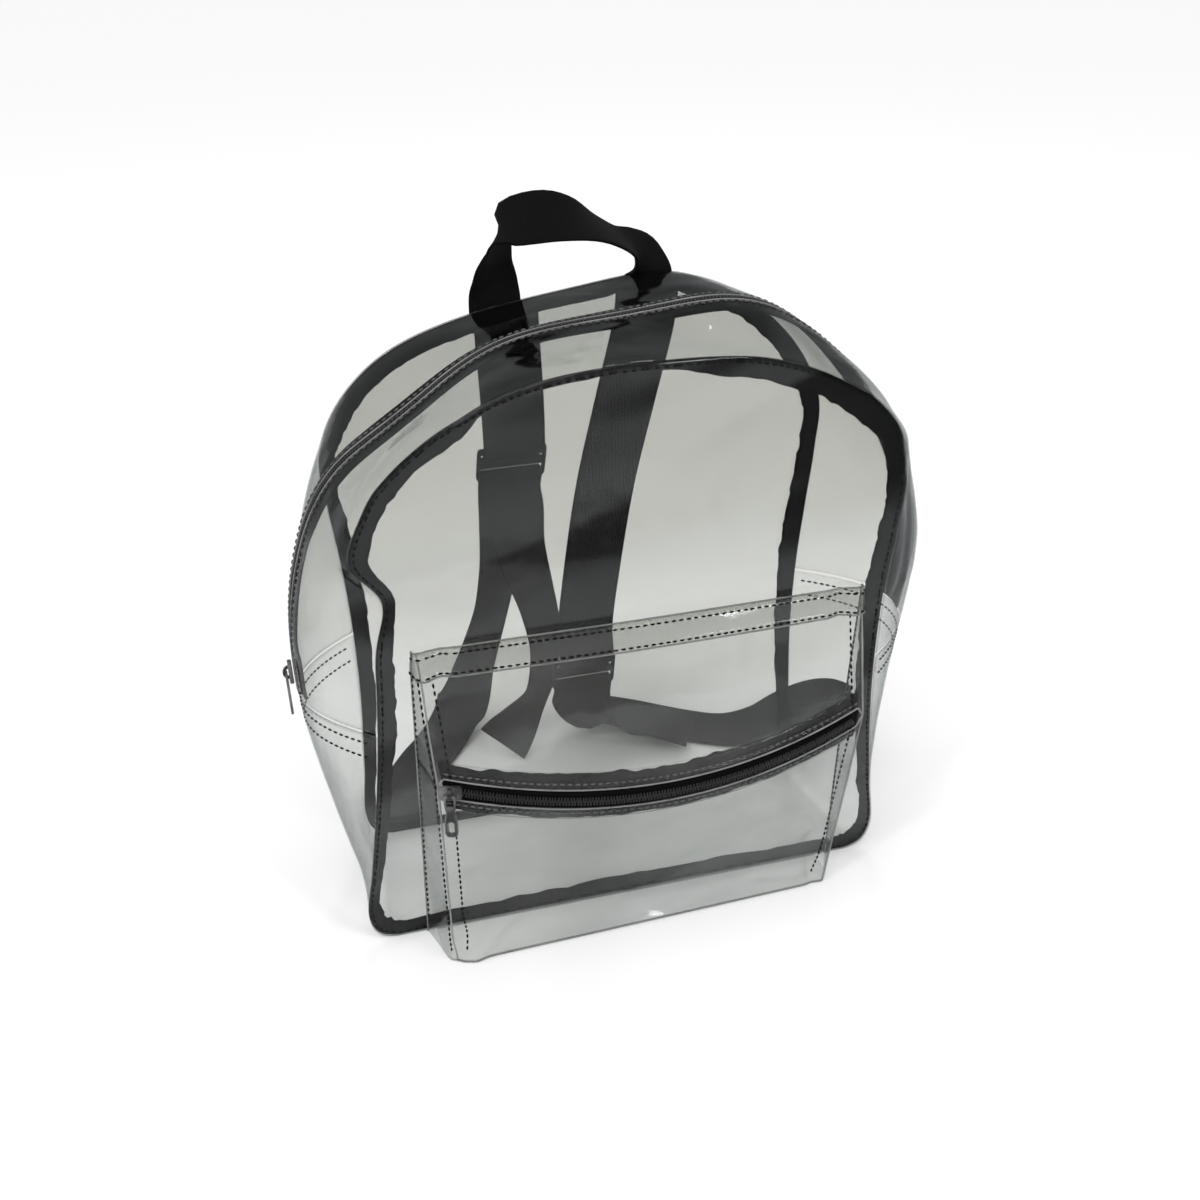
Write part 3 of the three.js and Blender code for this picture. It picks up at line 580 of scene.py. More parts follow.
def film_edge_material():
    material, tree, surface = start_material("film_edge")
    cloud = scuffs_in(tree, 40.0)
    clear = add_node(tree, "BsdfTransparent", {"Color": EDGE_CLEAR})
    grey = add_node(tree, "BsdfPrincipled", {"Base Color": EDGE_PAINTED_SHADE, "Roughness": 0.25})
    share = scaled(tree, cloud, 0.45, 0.85)
    final = add_node(tree, "MixShader", {0: share, 1: clear.outputs[0], 2: grey.outputs[0]})
    tree.links.new(final.outputs[0], surface)
    return material


FILM_EDGE = film_edge_material()
print("material", FILM_EDGE.name)

# %% [markdown]
# ## Black cloth and thread
# All the trim is black, so the eye tells webbing, tape and thread apart by their relief and gloss alone.
# They share one woven finish, each with its own thread count and depth. The thread along the zips is
# black too. Where it presses into the film it catches light, and its paler colour is a painted highlight.

# %% Woven materials
# Shares of its colour that cloth shows between its threads and on top of them: painted shade and painted
# light
PAINTED_SHADE_BETWEEN_THREADS, PAINTED_LIGHT_ON_THREADS = 0.7, 1.7


def woven_material(name, colour, warps, wefts, depth, rough):
    material, tree, surface = start_material(name)
    weave = weave_in(tree, warps, wefts)
    cloud = scuffs_in(tree, 26.0)
    faded = math_node(tree, "MULTIPLY", cloud, 0.3)
    light = math_node(tree, "MULTIPLY_ADD", weave["Shade"], 0.75, faded)
    # The ramp paints shade between the threads and light on their tops, with lighter scuffed patches
    shade = add_node(tree, "ValToRGB", {"Fac": light})
    shade.color_ramp.elements[0].color = (*[part * PAINTED_SHADE_BETWEEN_THREADS for part in colour], 1)
    shade.color_ramp.elements[1].color = (*[part * PAINTED_LIGHT_ON_THREADS for part in colour], 1)
    bump = add_node(tree, "Bump", {"Height": weave["Height"], "Distance": depth, "Strength": 1.0})
    cloth = add_node(tree, "BsdfPrincipled", {
        "Base Color": shade.outputs["Color"], "Roughness": scaled(tree, cloud, rough, rough + 0.1),
        "Specular IOR Level": 0.07, "Sheen Weight": 0.01, "Normal": bump.outputs[0]})
    tree.links.new(cloth.outputs[0], surface)
    return material


BLACK_WEBBING = woven_material(
    "black_webbing", (0.0038, 0.0039, 0.0042), warps=900, wefts=620, depth=0.0001, rough=0.85)
SEAM_TAPE = woven_material(
    "seam_tape", (0.003, 0.0031, 0.0034), warps=2300, wefts=1700, depth=0.00003, rough=0.85)
THREAD = woven_material(
    "sewing_thread", (0.005, 0.005, 0.0055), warps=3200, wefts=2600, depth=0.00005, rough=0.7)
# The zips' thread is black; its paler colour is a painted highlight
HIGHLIGHT_THREAD = woven_material(
    "painted_highlight_thread", (0.11, 0.11, 0.112), warps=3200, wefts=2600, depth=0.00005, rough=0.6)
print("woven", [material.name for material in (BLACK_WEBBING, SEAM_TAPE, THREAD, HIGHLIGHT_THREAD)])

# %% [markdown]
# ## Nylon, plastic and painted metal
# The zips' teeth are nylon, the adjusters moulded plastic and the sliders painted metal. Each has a fine
# grain and a roughness that changes where it is handled. A second material for the worn places would leave
# a hard border. An attribute named worn marks the rims instead, and the colour changes there in soft
# patches.

# %% Hard materials
def hard_material(name, colour, worn_colour, grain, depth, rough, shine):
    material, tree, surface = start_material(name)
    cloud = scuffs_in(tree, 60.0)
    worn = add_node(tree, "Attribute", attribute_name="worn").outputs["Fac"]
    base = add_node(tree, "ValToRGB", {"Fac": math_node(tree, "MULTIPLY", worn, cloud)})
    base.color_ramp.elements[0].color = (*colour, 1)
    base.color_ramp.elements[1].color = (*worn_colour, 1)
    place = add_node(tree, "TexCoord").outputs["Object"]
    grained = add_node(tree, "TexNoise", {"Vector": place, "Scale": grain, "Detail": 3.0})
    bump = add_node(tree, "Bump", {"Height": grained.outputs[0], "Distance": depth, "Strength": 1.0})
    body = add_node(tree, "BsdfPrincipled", {
        "Base Color": base.outputs["Color"], "Specular IOR Level": shine,
        "Roughness": scaled(tree, cloud, rough, rough + 0.14), "Normal": bump.outputs[0]})
    tree.links.new(body.outputs[0], surface)
    return material


NYLON_COIL = hard_material(
    "nylon_coil", (0.006, 0.006, 0.0065), (0.02, 0.02, 0.021),
    grain=900, depth=0.00006, rough=0.42, shine=0.3)
BLACK_PLASTIC = hard_material(
    "black_plastic", (0.003, 0.003, 0.0033), (0.006, 0.006, 0.0063),
    grain=1400, depth=0.00005, rough=0.55, shine=0.1)
PAINTED_METAL = hard_material(
    "painted_metal", (0.007, 0.007, 0.0075), (0.2, 0.2, 0.2),
    grain=1100, depth=0.00003, rough=0.28, shine=0.4)
print("hard", [material.name for material in (NYLON_COIL, BLACK_PLASTIC, PAINTED_METAL)])

# %% [markdown]
# ## From a grid to a sheet
# Sheets start as a flat grid with bmesh.ops.create_grid. Each corner's place on the grid, from 0 to 1 both
# ways, is looked up on one of the surfaces above. Sewn edges lie still while the middle of the film may
# wave. Woven strips also get a UV map in metres, so that their threads keep their true size.

# %% Lay sheets and strips
MM = 0.001
# Size and height of the waves in slack film, in millimetres
WAVE_SIZES = ((52, 1.3), (19, 0.4))
RUN_STEPS = 60


def wave_at(point):
    return sum(noise.noise(point / size) * height for size, height in WAVE_SIZES)


def lay_grid(mesh, at, columns, rows, slack=None, lift=0):
    """Adds a grid over the surface at(u, v), with waves where slack(u, v) is above 0."""
    flat = bmesh.ops.create_grid(mesh, x_segments=columns, y_segments=rows, size=0.5)["verts"]
    shares = [(vert, vert.co.x + 0.5, vert.co.y + 0.5) for vert in flat]
    for vert, u, v in shares:
        vert.co = at(u, v)
    mesh.normal_update()
    for vert, u, v in shares:
        rise = lift + (wave_at(vert.co) * slack(u, v) if slack else 0)
        vert.co += vert.normal * rise
        vert.co.z = max(vert.co.z, 0)
    return flat


def run_length(at, along):
    shares = [step / RUN_STEPS for step in range(RUN_STEPS + 1)]
    spots = [at(share, 0.5) if along else at(0.5, share) for share in shares]
    return sum((b - a).length for a, b in zip(spots, spots[1:]))


def lay_strip(mesh, at, columns, rows, lift=0):
    """Adds a woven strip with a UV map in metres along and across it."""
    length, width = run_length(at, True) * MM, run_length(at, False) * MM
    uv = mesh.loops.layers.uv.verify()
    flat = bmesh.ops.create_grid(mesh, x_segments=columns, y_segments=rows, size=0.5)["verts"]
    for face in {face for vert in flat for face in vert.link_faces}:
        for loop in face.loops:
            loop[uv].uv = ((loop.vert.co.x + 0.5) * length, (loop.vert.co.y + 0.5) * width)
    shares = [(vert, vert.co.x + 0.5, vert.co.y + 0.5) for vert in flat]
    for vert, u, v in shares:
        vert.co = at(u, v)
    mesh.normal_update()
    for vert, u, v in shares:
        vert.co += vert.normal * lift
    return flat


print("waves up to", max(height for size, height in WAVE_SIZES), "mm high")

# %% [markdown]
# ## From a mesh to a finished piece
# A mesh becomes a piece when it has a name, a finish, a body to ride on and the solids that it stands for.
# Walls could be modelled with both faces. The Solidify and Bevel modifiers give a sheet its thickness and
# soft edges instead, so it stays easy to change.

# %% Finish pieces
SOFT_EDGE_ANGLE = math.radians(50)


def finish_piece(mesh, name, material, nodes=(), body="bag", smooth=True):
    bmesh.ops.scale(mesh, vec=(MM, MM, MM), verts=mesh.verts)
    data = bpy.data.meshes.new(name)
    mesh.to_mesh(data)
    mesh.free()
    data.polygons.foreach_set("use_smooth", [smooth] * len(data.polygons))
    data.materials.append(material)
    piece = bpy.data.objects.new(name, data)
    bpy.context.scene.collection.objects.link(piece)
    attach(piece, body)
    if nodes:
        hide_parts(*nodes)
    print(name, len(data.polygons), "faces")
    return piece


def thicken(piece, millimetres, offset=-1.0, bevel=0.0):
    wall = piece.modifiers.new("thickness", "SOLIDIFY")
    wall.thickness = millimetres * MM
    wall.offset = offset
    wall.use_even_offset = False
    if bevel:
        edge = piece.modifiers.new("soft_edge", "BEVEL")
        edge.width = bevel * MM
        edge.segments = 2
        edge.limit_method = "ANGLE"
        edge.angle_limit = SOFT_EDGE_ANGLE


print("edges are softened where they turn by over", round(math.degrees(SOFT_EDGE_ANGLE)), "degrees")

# %% [markdown]
# ## Front and back panels
# Each panel is one flat sheet cut to an arch and sewn all round. A fan of triangles from its middle would
# pinch the reflections there, so a square grid is stretched to the arch: rings of the square become rings
# of the panel.

# %% Sew in the panels
FILM_THICK = 0.6
PANEL_CELLS = 96
# Share of the way in from the seam over which the waves grow
PANEL_SLACK = 0.16


def ring_and_station(u, v):
    """How far out a corner of the square lies, and where its ring meets the seam."""
    x, y = 2 * u - 1, 2 * v - 1
    ring = max(abs(x), abs(y))
    if ring < TINY:
        return 0, 0
    x, y = x / ring, y / ring
    if y < -1 + TINY:
        turn = -x / 8
    elif x < -1 + TINY:
        turn = 1 / 4 + y / 8
    elif y > 1 - TINY:
        turn = 1 / 2 + x / 8
    else:
        turn = 3 / 4 - y / 8
    return ring, round(turn % 1 * STATIONS, STATION_DIGITS)


def add_panel(name, line, mirrored):
    def at(u, v):
        return on_panel(line, *ring_and_station(1 - u if mirrored else u, v))

    def slack(u, v):
        return soft_step((1 - ring_and_station(u, v)[0]) / PANEL_SLACK)

    mesh = bmesh.new()
    lay_grid(mesh, at, PANEL_CELLS, PANEL_CELLS, slack)
    piece = finish_piece(mesh, name + "_film", CLEAR_FILM, (name,))
    thicken(piece, FILM_THICK)


add_panel("front_panel", "front", False)
add_panel("back_panel", "back", True)

# %% [markdown]
# ## Gusset
# The gusset goes right round the bag. Below the zip's ends it is one wide strip that is also the base.
# Above them it is two strips, one on each side of the zip, and each is folded back into a hem where it is
# sewn to the zip's tape. The hem is a second strip just inside the first.

# %% Sew in the gusset
CROSS_SEAM_GAP = 0.04
HEM_WIDTH, HEM_DROP, HEM_ROWS = 9, 1.1, 3
COLUMNS_PER_STATION = 14
WIDE_STRIP_ROWS, HALF_STRIP_ROWS = 40, 22
# Shares of a strip's length and width over which its waves grow
END_SLACK, EDGE_SLACK = 0.02, 0.22
zip_to = STATIONS - ZIP_END


def strip_between(start, end, near, far):
    def at(u, v):
        station = round(mix(start, end, u), STATION_DIGITS)
        return on_gusset(station, mix(near(station), far(station), v))
    return at


def gusset_slack(u, v):
    ends = soft_step(min(u, 1 - u) / END_SLACK)
    return ends * soft_step(v / EDGE_SLACK) * soft_step((1 - v) / EDGE_SLACK)


def at_front(station):
    return 0.0


def at_back(station):
    return 1.0


def beside_zip(way, extra=0):
    return lambda station: gusset_share(station, way * (zip_gap(station) + extra))


def add_gusset(name, nodes, start, end, near, far, rows, hem=None):
    mesh = bmesh.new()
    columns = round((end - start) * COLUMNS_PER_STATION)
    lay_grid(mesh, strip_between(start, end, near, far), columns, rows, gusset_slack)
    if hem:
        lay_grid(mesh, strip_between(start, end, *hem), columns, HEM_ROWS, lift=-HEM_DROP)
    piece = finish_piece(mesh, name + "_film", CLEAR_FILM, nodes)
    thicken(piece, FILM_THICK)


add_gusset("lower_gusset", ("base_gusset", "left_side_gusset", "right_side_gusset"),
           zip_to + CROSS_SEAM_GAP, STATIONS + ZIP_END - CROSS_SEAM_GAP, at_front, at_back, WIDE_STRIP_ROWS)
add_gusset("upper_gusset_front", ("upper_gusset_front",), ZIP_END, zip_to, at_front, beside_zip(-1),
           HALF_STRIP_ROWS, (beside_zip(-1, HEM_WIDTH), beside_zip(-1)))
add_gusset("upper_gusset_back", ("upper_gusset_back",), ZIP_END, zip_to, beside_zip(1), at_back,
           HALF_STRIP_ROWS, (beside_zip(1), beside_zip(1, HEM_WIDTH)))

# %% [markdown]
# ## Bindings
# The cut edges of panel and gusset are turned inwards together and wrapped in black tape. Along the sides
# the bound edge lies flat behind the panel, at the top it stands straight in, and at the top right it
# hangs loose. A short table of angles along the seam turns one strip through all of these.

# %% Bind the seams
# Station, angle away from the panel in degrees, and width
FRONT_BINDING = [
    (0, 14, 10.5), (11.2, 12, 10.5), (12.1, 14, 11), (12.5, 46, 10), (14.2, 48, 10), (14.8, 24, 14),
    (16.4, 16, 13.5), (17.4, 14, 10.5), (28, 14, 10.5),
]
BACK_BINDING = [
    (0, 14, 10.5), (12, 30, 10.5), (14, 55, 10.5), (16, 20, 12), (18, 8, 13), (24, 8, 13), (28, 14, 10.5),
]
# Gap to the film, thickness, soft edge, and distance from the seam to the tape's edge
BINDING_START, BINDING_THICK, BINDING_EDGE, BINDING_INSET = 0.9, 1.1, 0.25, 0.6
# How far the tape's angle wavers, in degrees, and its width
BINDING_WAVER, BINDING_UNEVEN = 13, 1.4
BINDING_COLUMNS, BINDING_ROWS = STATIONS * 12, 5


def between_rows(rows, station):
    station %= STATIONS
    for (first, *low), (second, *high) in zip(rows, rows[1:]):
        if first <= station <= second:
            share = soft_step((station - first) / (second - first))
            return [mix(a, b, share) for a, b in zip(low, high)]
    return list(rows[-1][1:])


def wander(x, y, z=0):
    """A smooth random change from place to place, the same at every run."""
    return noise.noise(Vector((x, y, z)))


def add_binding(name, line, inward, rows):
    middle = panel_middle(line)

    def at(u, v):
        station = round(u * STATIONS, STATION_DIGITS)
        edge = on_line(line, station)
        inner = (middle - edge).normalized()
        angle, width = between_rows(rows, station)
        waver = wander(station * 1.7, inward * 9) * BINDING_WAVER * v
        turn = math.radians(angle + waver)
        uneven = wander(station * 2.3, inward * 5, 4) + wander(station * 7, inward, 2)
        reach = BINDING_INSET + v * (width + uneven * BINDING_UNEVEN)
        point = dented(edge + inner * reach * math.cos(turn))
        point.y += inward * (BINDING_START + reach * math.sin(turn))
        return point

    mesh = bmesh.new()
    lay_strip(mesh, at, BINDING_COLUMNS, BINDING_ROWS)
    bmesh.ops.remove_doubles(mesh, verts=mesh.verts, dist=0.01)
    piece = finish_piece(mesh, name + "_tape", SEAM_TAPE, (name,))
    thicken(piece, BINDING_THICK, 0.0, BINDING_EDGE)


add_binding("front_binding", "front", 1, FRONT_BINDING)
add_binding("back_binding", "back", -1, BACK_BINDING)

# %% [markdown]
# ## Pocket
# The pocket is a box of film. One sheet runs round its left side, face and right side, split by the zip,
# and a floor closes it below. Its upright edges are soft folds. Along the zip and along the top the film
# is folded back into a hem. A thicker sheet there would lose the second layer's grey, so each hem is a
# strip of its own.

# %% Sew on the pocket
POCKET_COLUMNS, BODY_ROWS, FLAP_ROWS = 130, 42, 30
POCKET_HEM, HEM_INSET = 9, 0.02
TOP_HEM, TOP_HEM_LIFT, TOP_HEM_ROWS = 14, 0.9, 4
# Shares of the sheet's width and height over which its waves grow
SIDE_SLACK, HEIGHT_SLACK = 0.05, 0.14
# Stretch of the sheet that the floor is sewn to, the floor's height above the sheet's foot, and its cells
POCKET_FLOOR = {"from": 0.12, "to": 0.88, "lift": 0.2, "columns": 60, "rows": 12}


def pocket_strip(start, end, low, high):
    def at(u, v):
        share = mix(start, end, u)
        return on_pocket(share, lambda side: mix(low(share, side), high(share, side), v))
    return at


def pocket_foot(share, side):
    return POCKET["foot"]


def pocket_top(share, side):
    return POCKET["top"]


def top_hem_edge(share, side):
    return POCKET["top"] - TOP_HEM


def zip_edge(way, extra=0):
    return lambda share, side: pocket_zip_height(side) + way * (pocket_gap(share) + extra)


def zip_hem(low, high):
    return pocket_strip(SIDE_SHARE + HEM_INSET, 1 - SIDE_SHARE - HEM_INSET, low, high)


def pocket_slack(u, v):
    sides = soft_step(min(u, 1 - u) / SIDE_SLACK)
    return sides * soft_step(v / HEIGHT_SLACK) * soft_step((1 - v) / HEIGHT_SLACK)


def add_pocket_body():
    mesh = bmesh.new()
    lay_grid(mesh, pocket_strip(0, 1, pocket_foot, zip_edge(-1)), POCKET_COLUMNS, BODY_ROWS, pocket_slack)
    hem = zip_hem(zip_edge(-1, POCKET_HEM), zip_edge(-1))
    lay_grid(mesh, hem, POCKET_COLUMNS, HEM_ROWS, lift=-HEM_DROP)
    back = front_y(POCKET["foot"]) - POCKET["off"]

    def on_floor(u, v):
        share = mix(POCKET_FLOOR["from"], POCKET_FLOOR["to"], u)
        front = on_pocket(share, lambda side: POCKET["foot"])
        return Vector((front.x, mix(front.y, back, v), POCKET["foot"] + POCKET_FLOOR["lift"]))

    lay_grid(mesh, on_floor, POCKET_FLOOR["columns"], POCKET_FLOOR["rows"])
    piece = finish_piece(mesh, "pocket_body_film", CLEAR_FILM, ("pocket_body",))
    thicken(piece, FILM_THICK)


def add_pocket_flap():
    mesh = bmesh.new()
    lay_grid(mesh, pocket_strip(0, 1, zip_edge(1), pocket_top), POCKET_COLUMNS, FLAP_ROWS, pocket_slack)
    hem = zip_hem(zip_edge(1), zip_edge(1, POCKET_HEM))
    lay_grid(mesh, hem, POCKET_COLUMNS, HEM_ROWS, lift=-HEM_DROP)
    folded = pocket_strip(0, 1, top_hem_edge, pocket_top)
    lay_grid(mesh, folded, POCKET_COLUMNS, TOP_HEM_ROWS, lift=TOP_HEM_LIFT)
    piece = finish_piece(mesh, "pocket_flap_film", CLEAR_FILM, ("pocket_flap",))
    thicken(piece, FILM_THICK)


add_pocket_body()
add_pocket_flap()

# %% [markdown]
# ## Cut and folded edges
# Beside the zips, along the pocket's top hem and on its folds, the film's edge shows as a thin grey line.
# A line in the film's material would have to know where each edge runs. A thin tube rolled round the edge
# follows it by itself and shows from every side, and its grey is painted shade.

# %% Roll the film's edges
EDGE_RADIUS, EDGE_COLUMNS, EDGE_SIDES = 0.55, 240, 6
# Shares just inside the two ends of the pocket's sheet
SHEET_START, SHEET_END = 0.002, 0.998
# A small step over a surface, and the width of a strip that only marks a line
NEAR, NARROW = 0.001, 0.01


def way_out(at, u, v):
    """The direction along a surface, and the one straight out of it."""
    along = at(clamp(u + NEAR), v) - at(clamp(u - NEAR), v)
    across = at(u, clamp(v + NEAR)) - at(u, clamp(v - NEAR))
    return along.normalized(), along.cross(across).normalized()


def upright(share, low, high):
    """A narrow upright strip of the pocket."""
    return lambda u, v: on_pocket(share + (v - 0.5) * NARROW, lambda side: mix(low, high, u))


def rolled(at, v):
    def tube(u, turn):
        along, out = way_out(at, u, v)
        angle = math.tau * turn
        return at(u, v) + (out * math.cos(angle) + out.cross(along) * math.sin(angle)) * EDGE_RADIUS
    return tube


def add_film_edges():
    mesh = bmesh.new()
    face = (SIDE_SHARE, 1 - SIDE_SHARE)
    strips = [strip_between(ZIP_END, zip_to, beside_zip(-1), beside_zip(1)),
              pocket_strip(*face, zip_edge(-1), zip_edge(1)), pocket_strip(0, 1, top_hem_edge, pocket_top)]
    for strip in strips:
        lay_grid(mesh, rolled(strip, 0.0), EDGE_COLUMNS, EDGE_SIDES)
        lay_grid(mesh, rolled(strip, 1.0), EDGE_COLUMNS, EDGE_SIDES)
    lay_grid(mesh, rolled(pocket_strip(*face, pocket_foot, pocket_top), 0.0), EDGE_COLUMNS, EDGE_SIDES)
    for share in (SHEET_START, *face, SHEET_END):
        fold = upright(share, POCKET["foot"], POCKET["top"])
        lay_grid(mesh, rolled(fold, 0.5), EDGE_COLUMNS // 2, EDGE_SIDES)
    bmesh.ops.remove_doubles(mesh, verts=mesh.verts, dist=0.005)
    bmesh.ops.holes_fill(mesh, edges=[edge for edge in mesh.edges if edge.is_boundary])
    finish_piece(mesh, "film_edges", FILM_EDGE)


add_film_edges()

# %% [markdown]
# ## Zips
# Each zip has a woven tape under the film and a nylon coil along its middle. A bump map would do for the
# coil from afar, but its teeth catch the light along their edges, so each tooth is a small bevelled block,
# and the two rows are shifted against each other by half a tooth. The pocket's tape has uneven edges, as
# cut tape has.

# %% Sew in the zips
TAPE_HALF, TAPE_THICK, TAPE_DROP, TAPE_WAVER = 14, 0.8, 1.5, 2.2
TAPE_ROWS, MAIN_TAPE_COLUMNS, POCKET_TAPE_COLUMNS = 6, 200, 120
COIL_HALF, COIL_SPOTS = 2.2, 900
# Shares from the ends of the pocket's face to the ends of its tape and its coil
TAPE_INSET, COIL_INSET = 0.006, 0.02
TOOTH = {
    "pitch": 1.7, "across": 3.0, "along": 1.05, "high": 1.5, "offset": 0.95,
    "sunk": 0.25, "edge": 0.3, "worn": 0.5,
}


def spaced(at, v, pitch, spot_count):
    """Shares u, a pitch apart along the surface at v."""
    shares = [step / spot_count for step in range(spot_count + 1)]
    spots = [at(share, v) for share in shares]
    found, run, wanted = [], 0.0, pitch / 2
    for a, b, share in zip(spots, spots[1:], shares[1:]):
        run += (b - a).length
        if run >= wanted:
            found.append(share)
            wanted += pitch
    return found


def turned(point, along, out):
    across = out.cross(along).normalized()
    return Matrix.Translation(point) @ Matrix((along, across, out)).transposed().to_4x4()


def edges_of(block):
    return list({edge for vert in block for edge in vert.link_edges})


def round_off(mesh, geom, offset, segments, affect="EDGES"):
    return bmesh.ops.bevel(
        mesh, geom=geom, offset=offset, affect=affect, segments=segments, profile=0.5, material=-1)


def add_tape(name, at, columns):
    mesh = bmesh.new()
    lay_strip(mesh, at, columns, TAPE_ROWS, -TAPE_DROP)
    piece = finish_piece(mesh, name + "_woven", SEAM_TAPE, (name,))
    thicken(piece, TAPE_THICK)


def add_coil(name, at):
    mesh = bmesh.new()
    worn = mesh.verts.layers.float.new("worn")
    size = Matrix.Diagonal((TOOTH["along"], TOOTH["across"], TOOTH["high"], 1))
    for index, u in enumerate(spaced(at, 0.5, TOOTH["pitch"] / 2, COIL_SPOTS)):
        along, out = way_out(at, u, 0.5)
        side = TOOTH["offset"] if index % 2 else -TOOTH["offset"]
        place = turned(at(u, 0.5) - out * TOOTH["sunk"], along, out) @ Matrix.Translation((0, side, 0))
        block = bmesh.ops.create_cube(mesh, size=1, matrix=place @ size)["verts"]
        round_off(mesh, edges_of(block), TOOTH["edge"], 1)
    for vert in mesh.verts:
        vert[worn] = TOOTH["worn"]
    finish_piece(mesh, name + "_teeth", NYLON_COIL, (name,), smooth=False)


def zip_strip(half):
    def front_edge(station):
        return gusset_share(station, -half)

    def back_edge(station):
        return gusset_share(station, half)

    return strip_between(ZIP_END, zip_to, front_edge, back_edge)


def pocket_zip(inset, half, waver=0):
    start = SIDE_SHARE + inset

    def edge(way):
        def height(share, side):
            uneven = wander(share * 22, way * 3) + wander(share * 60, way, 5) * 0.5
            return pocket_zip_height(side) + way * (half + uneven * waver)
        return height

    return pocket_strip(start, 1 - start, edge(-1), edge(1))


add_tape("main_zipper_tape", zip_strip(TAPE_HALF), MAIN_TAPE_COLUMNS)
add_coil("main_zipper_coil", zip_strip(COIL_HALF))
add_tape("pocket_zipper_tape", pocket_zip(TAPE_INSET, TAPE_HALF, TAPE_WAVER), POCKET_TAPE_COLUMNS)
add_coil("pocket_zipper_coil", pocket_zip(COIL_INSET, COIL_HALF))

# %% [markdown]
# ## Lines of the webbing
# The handle and straps are flat woven ribbons. A ribbon could be a curve with a bevel, but a grid along a
# line with its own width direction twists exactly as the slack webbing does, and its UV map carries the
# weave. So each ribbon starts as a short table of points, with the direction of its width at each.

# %% Where the webbing lies
# Each row is a point on the middle line, by x, y and z, and the direction of the width there
HANDLE_ROWS = [
    (-46.5, 55.3, 332, 1, 0, 0), (-46.5, 55.5, 348, 1, 0, 0), (-46, 56.6, 359, 0.95, 0.3, 0),
    (-46, 56, 368.5, 0.82, 0.57, 0), (-44, 53.5, 379, 0.68, 0.72, 0.12), (-42, 50.5, 391.5, 0.32, 0.7, 0.64),
    (-21, 47, 397, -0.05, 0.55, 0.83), (-2, 46, 394.5, 0, 0.75, 0.6), (14, 48, 387.5, 0.15, 0.95, 0.2),
    (28, 52, 379, 0.3, 0.95, 0), (37, 55.5, 372, 0.6, 0.8, 0), (42.5, 57.5, 364.5, 0.88, 0.47, 0),
    (44.5, 56.6, 356.5, 1, 0.05, 0), (44, 55.3, 346, 1, 0, 0), (44, 55.3, 334, 1, 0, 0),
]
SHOULDER_ROWS = {
    "left": [
        (-40, 57.9, 346, 1, 0, 0), (-39.5, 57.7, 325, 1, 0, 0), (-37.5, 61, 290, 1, 0, 0),
    ],
    "right": [
        (45, 58.2, 349, 1, 0, 0), (43, 57.7, 330, 1, 0, 0), (33, 60, 285, 1, 0, 0), (21, 66, 225, 1, 0, 0),
        (14, 76, 160, 1, 0, 0), (12, 88, 108, 1, 0, 0),
    ],
}
TAIL_ROWS = {
    "left": [
        (-43, 112, 13.2, 0.96, -0.1, 0), (-29, 116, 28, 0.9, 0.3, 0), (-13, 121, 48, 0.75, 0.65, 0),
        (-8.5, 123, 64, 0.72, 0.69, 0), (-7, 123.5, 88, 0.72, 0.69, 0), (-13, 120, 122, 0.75, 0.65, 0),
        (-23, 112, 160, 0.88, 0.47, 0), (-29, 100, 194, 0.97, 0.2, 0),
    ],
    "right": [
        (90, 97, 8, -0.45, -0.89, 0), (66, 107, 14, -0.3, -0.95, 0), (44, 111, 17, 0.2, -0.98, 0),
        (25, 107, 25, 0.8, -0.6, 0), (15, 102, 39, 1, -0.1, 0),
    ],
}
LOWER_ROWS = {
    "left": [
        (-34.5, 107, 192, 0.97, 0.25, 0), (-35, 121, 158, 0.88, 0.47, 0), (-38.5, 137, 118, 0.82, 0.57, 0),
        (-44, 148, 87, 0.86, 0.5, 0), (-54, 160, 45, 0.95, 0.25, 0.15), (-62, 168, 13, 0.9, -0.38, 0.15),
        (-80, 147, 2.4, 0.72, -0.68, 0.02), (-97, 124, 1.8, 0.75, -0.66, 0), (-112, 98, 1.5, 0.93, -0.36, 0),
        (-119, 55.4, 1.3, 1, 0, 0),
    ],
    "right": [
        (17, 128, 32, 0.97, 0.25, 0), (32, 147, 10, 0.5, 0.86, -0.1), (60, 139, 2.4, 0.5, 0.86, 0),
        (88, 118, 2.2, 0.55, 0.83, 0), (114, 101, 2.8, 0.5, 0.86, 0.05), (140, 90, 8, 0.3, 0.9, 0.3),
        (166, 87, 15.6, 0, 0.7, 0.7),
        (192, 86, 20.4, 0, 0.1, 1), (203, 73, 20.4, 0, 0, 1), (190, 61, 20.4, 0, 0, 1),
        (162, 57, 20.4, 0, 0, 1), (140, 54.6, 20.4, 0, 0, 1),
    ],
}
print("rows of the handle", len(HANDLE_ROWS))

# %% [markdown]
# ## Webbing through the adjusters
# A shoulder strap's end goes down through the adjuster's upper slot and on behind its middle bar. The
# webbing from the lower corner turns round the adjuster's lower bar and hangs down again as a free tail.
# More rows in the tables could give these bends. Worked out from the adjuster's own sizes, they stay with
# it when it moves.

# %% Thread the adjusters
ADJUSTER = {
    "width": 43.4, "height": 26, "thick": 3.6, "corner": 3, "edge": 0.8,
    "slot": 39.2, "bar": 3.5, "middle_bar": 4.8,
}
# Middle and tilt of each adjuster
ADJUSTER_PLACES = {"left": (Vector((-35, 82, 239)), 23), "right": (Vector((13, 97, 72)), 14)}
# How far down and out of the adjuster's upper slot the shoulder strap's end runs
SLOT_ROWS = [(-12, -4.2), (-5.4, -3.7), (-2.2, -2.2), (0, 0), (2.2, 2.2), (4.2, 3.6), (7.5, 4.0), (11.5, 4.6)]
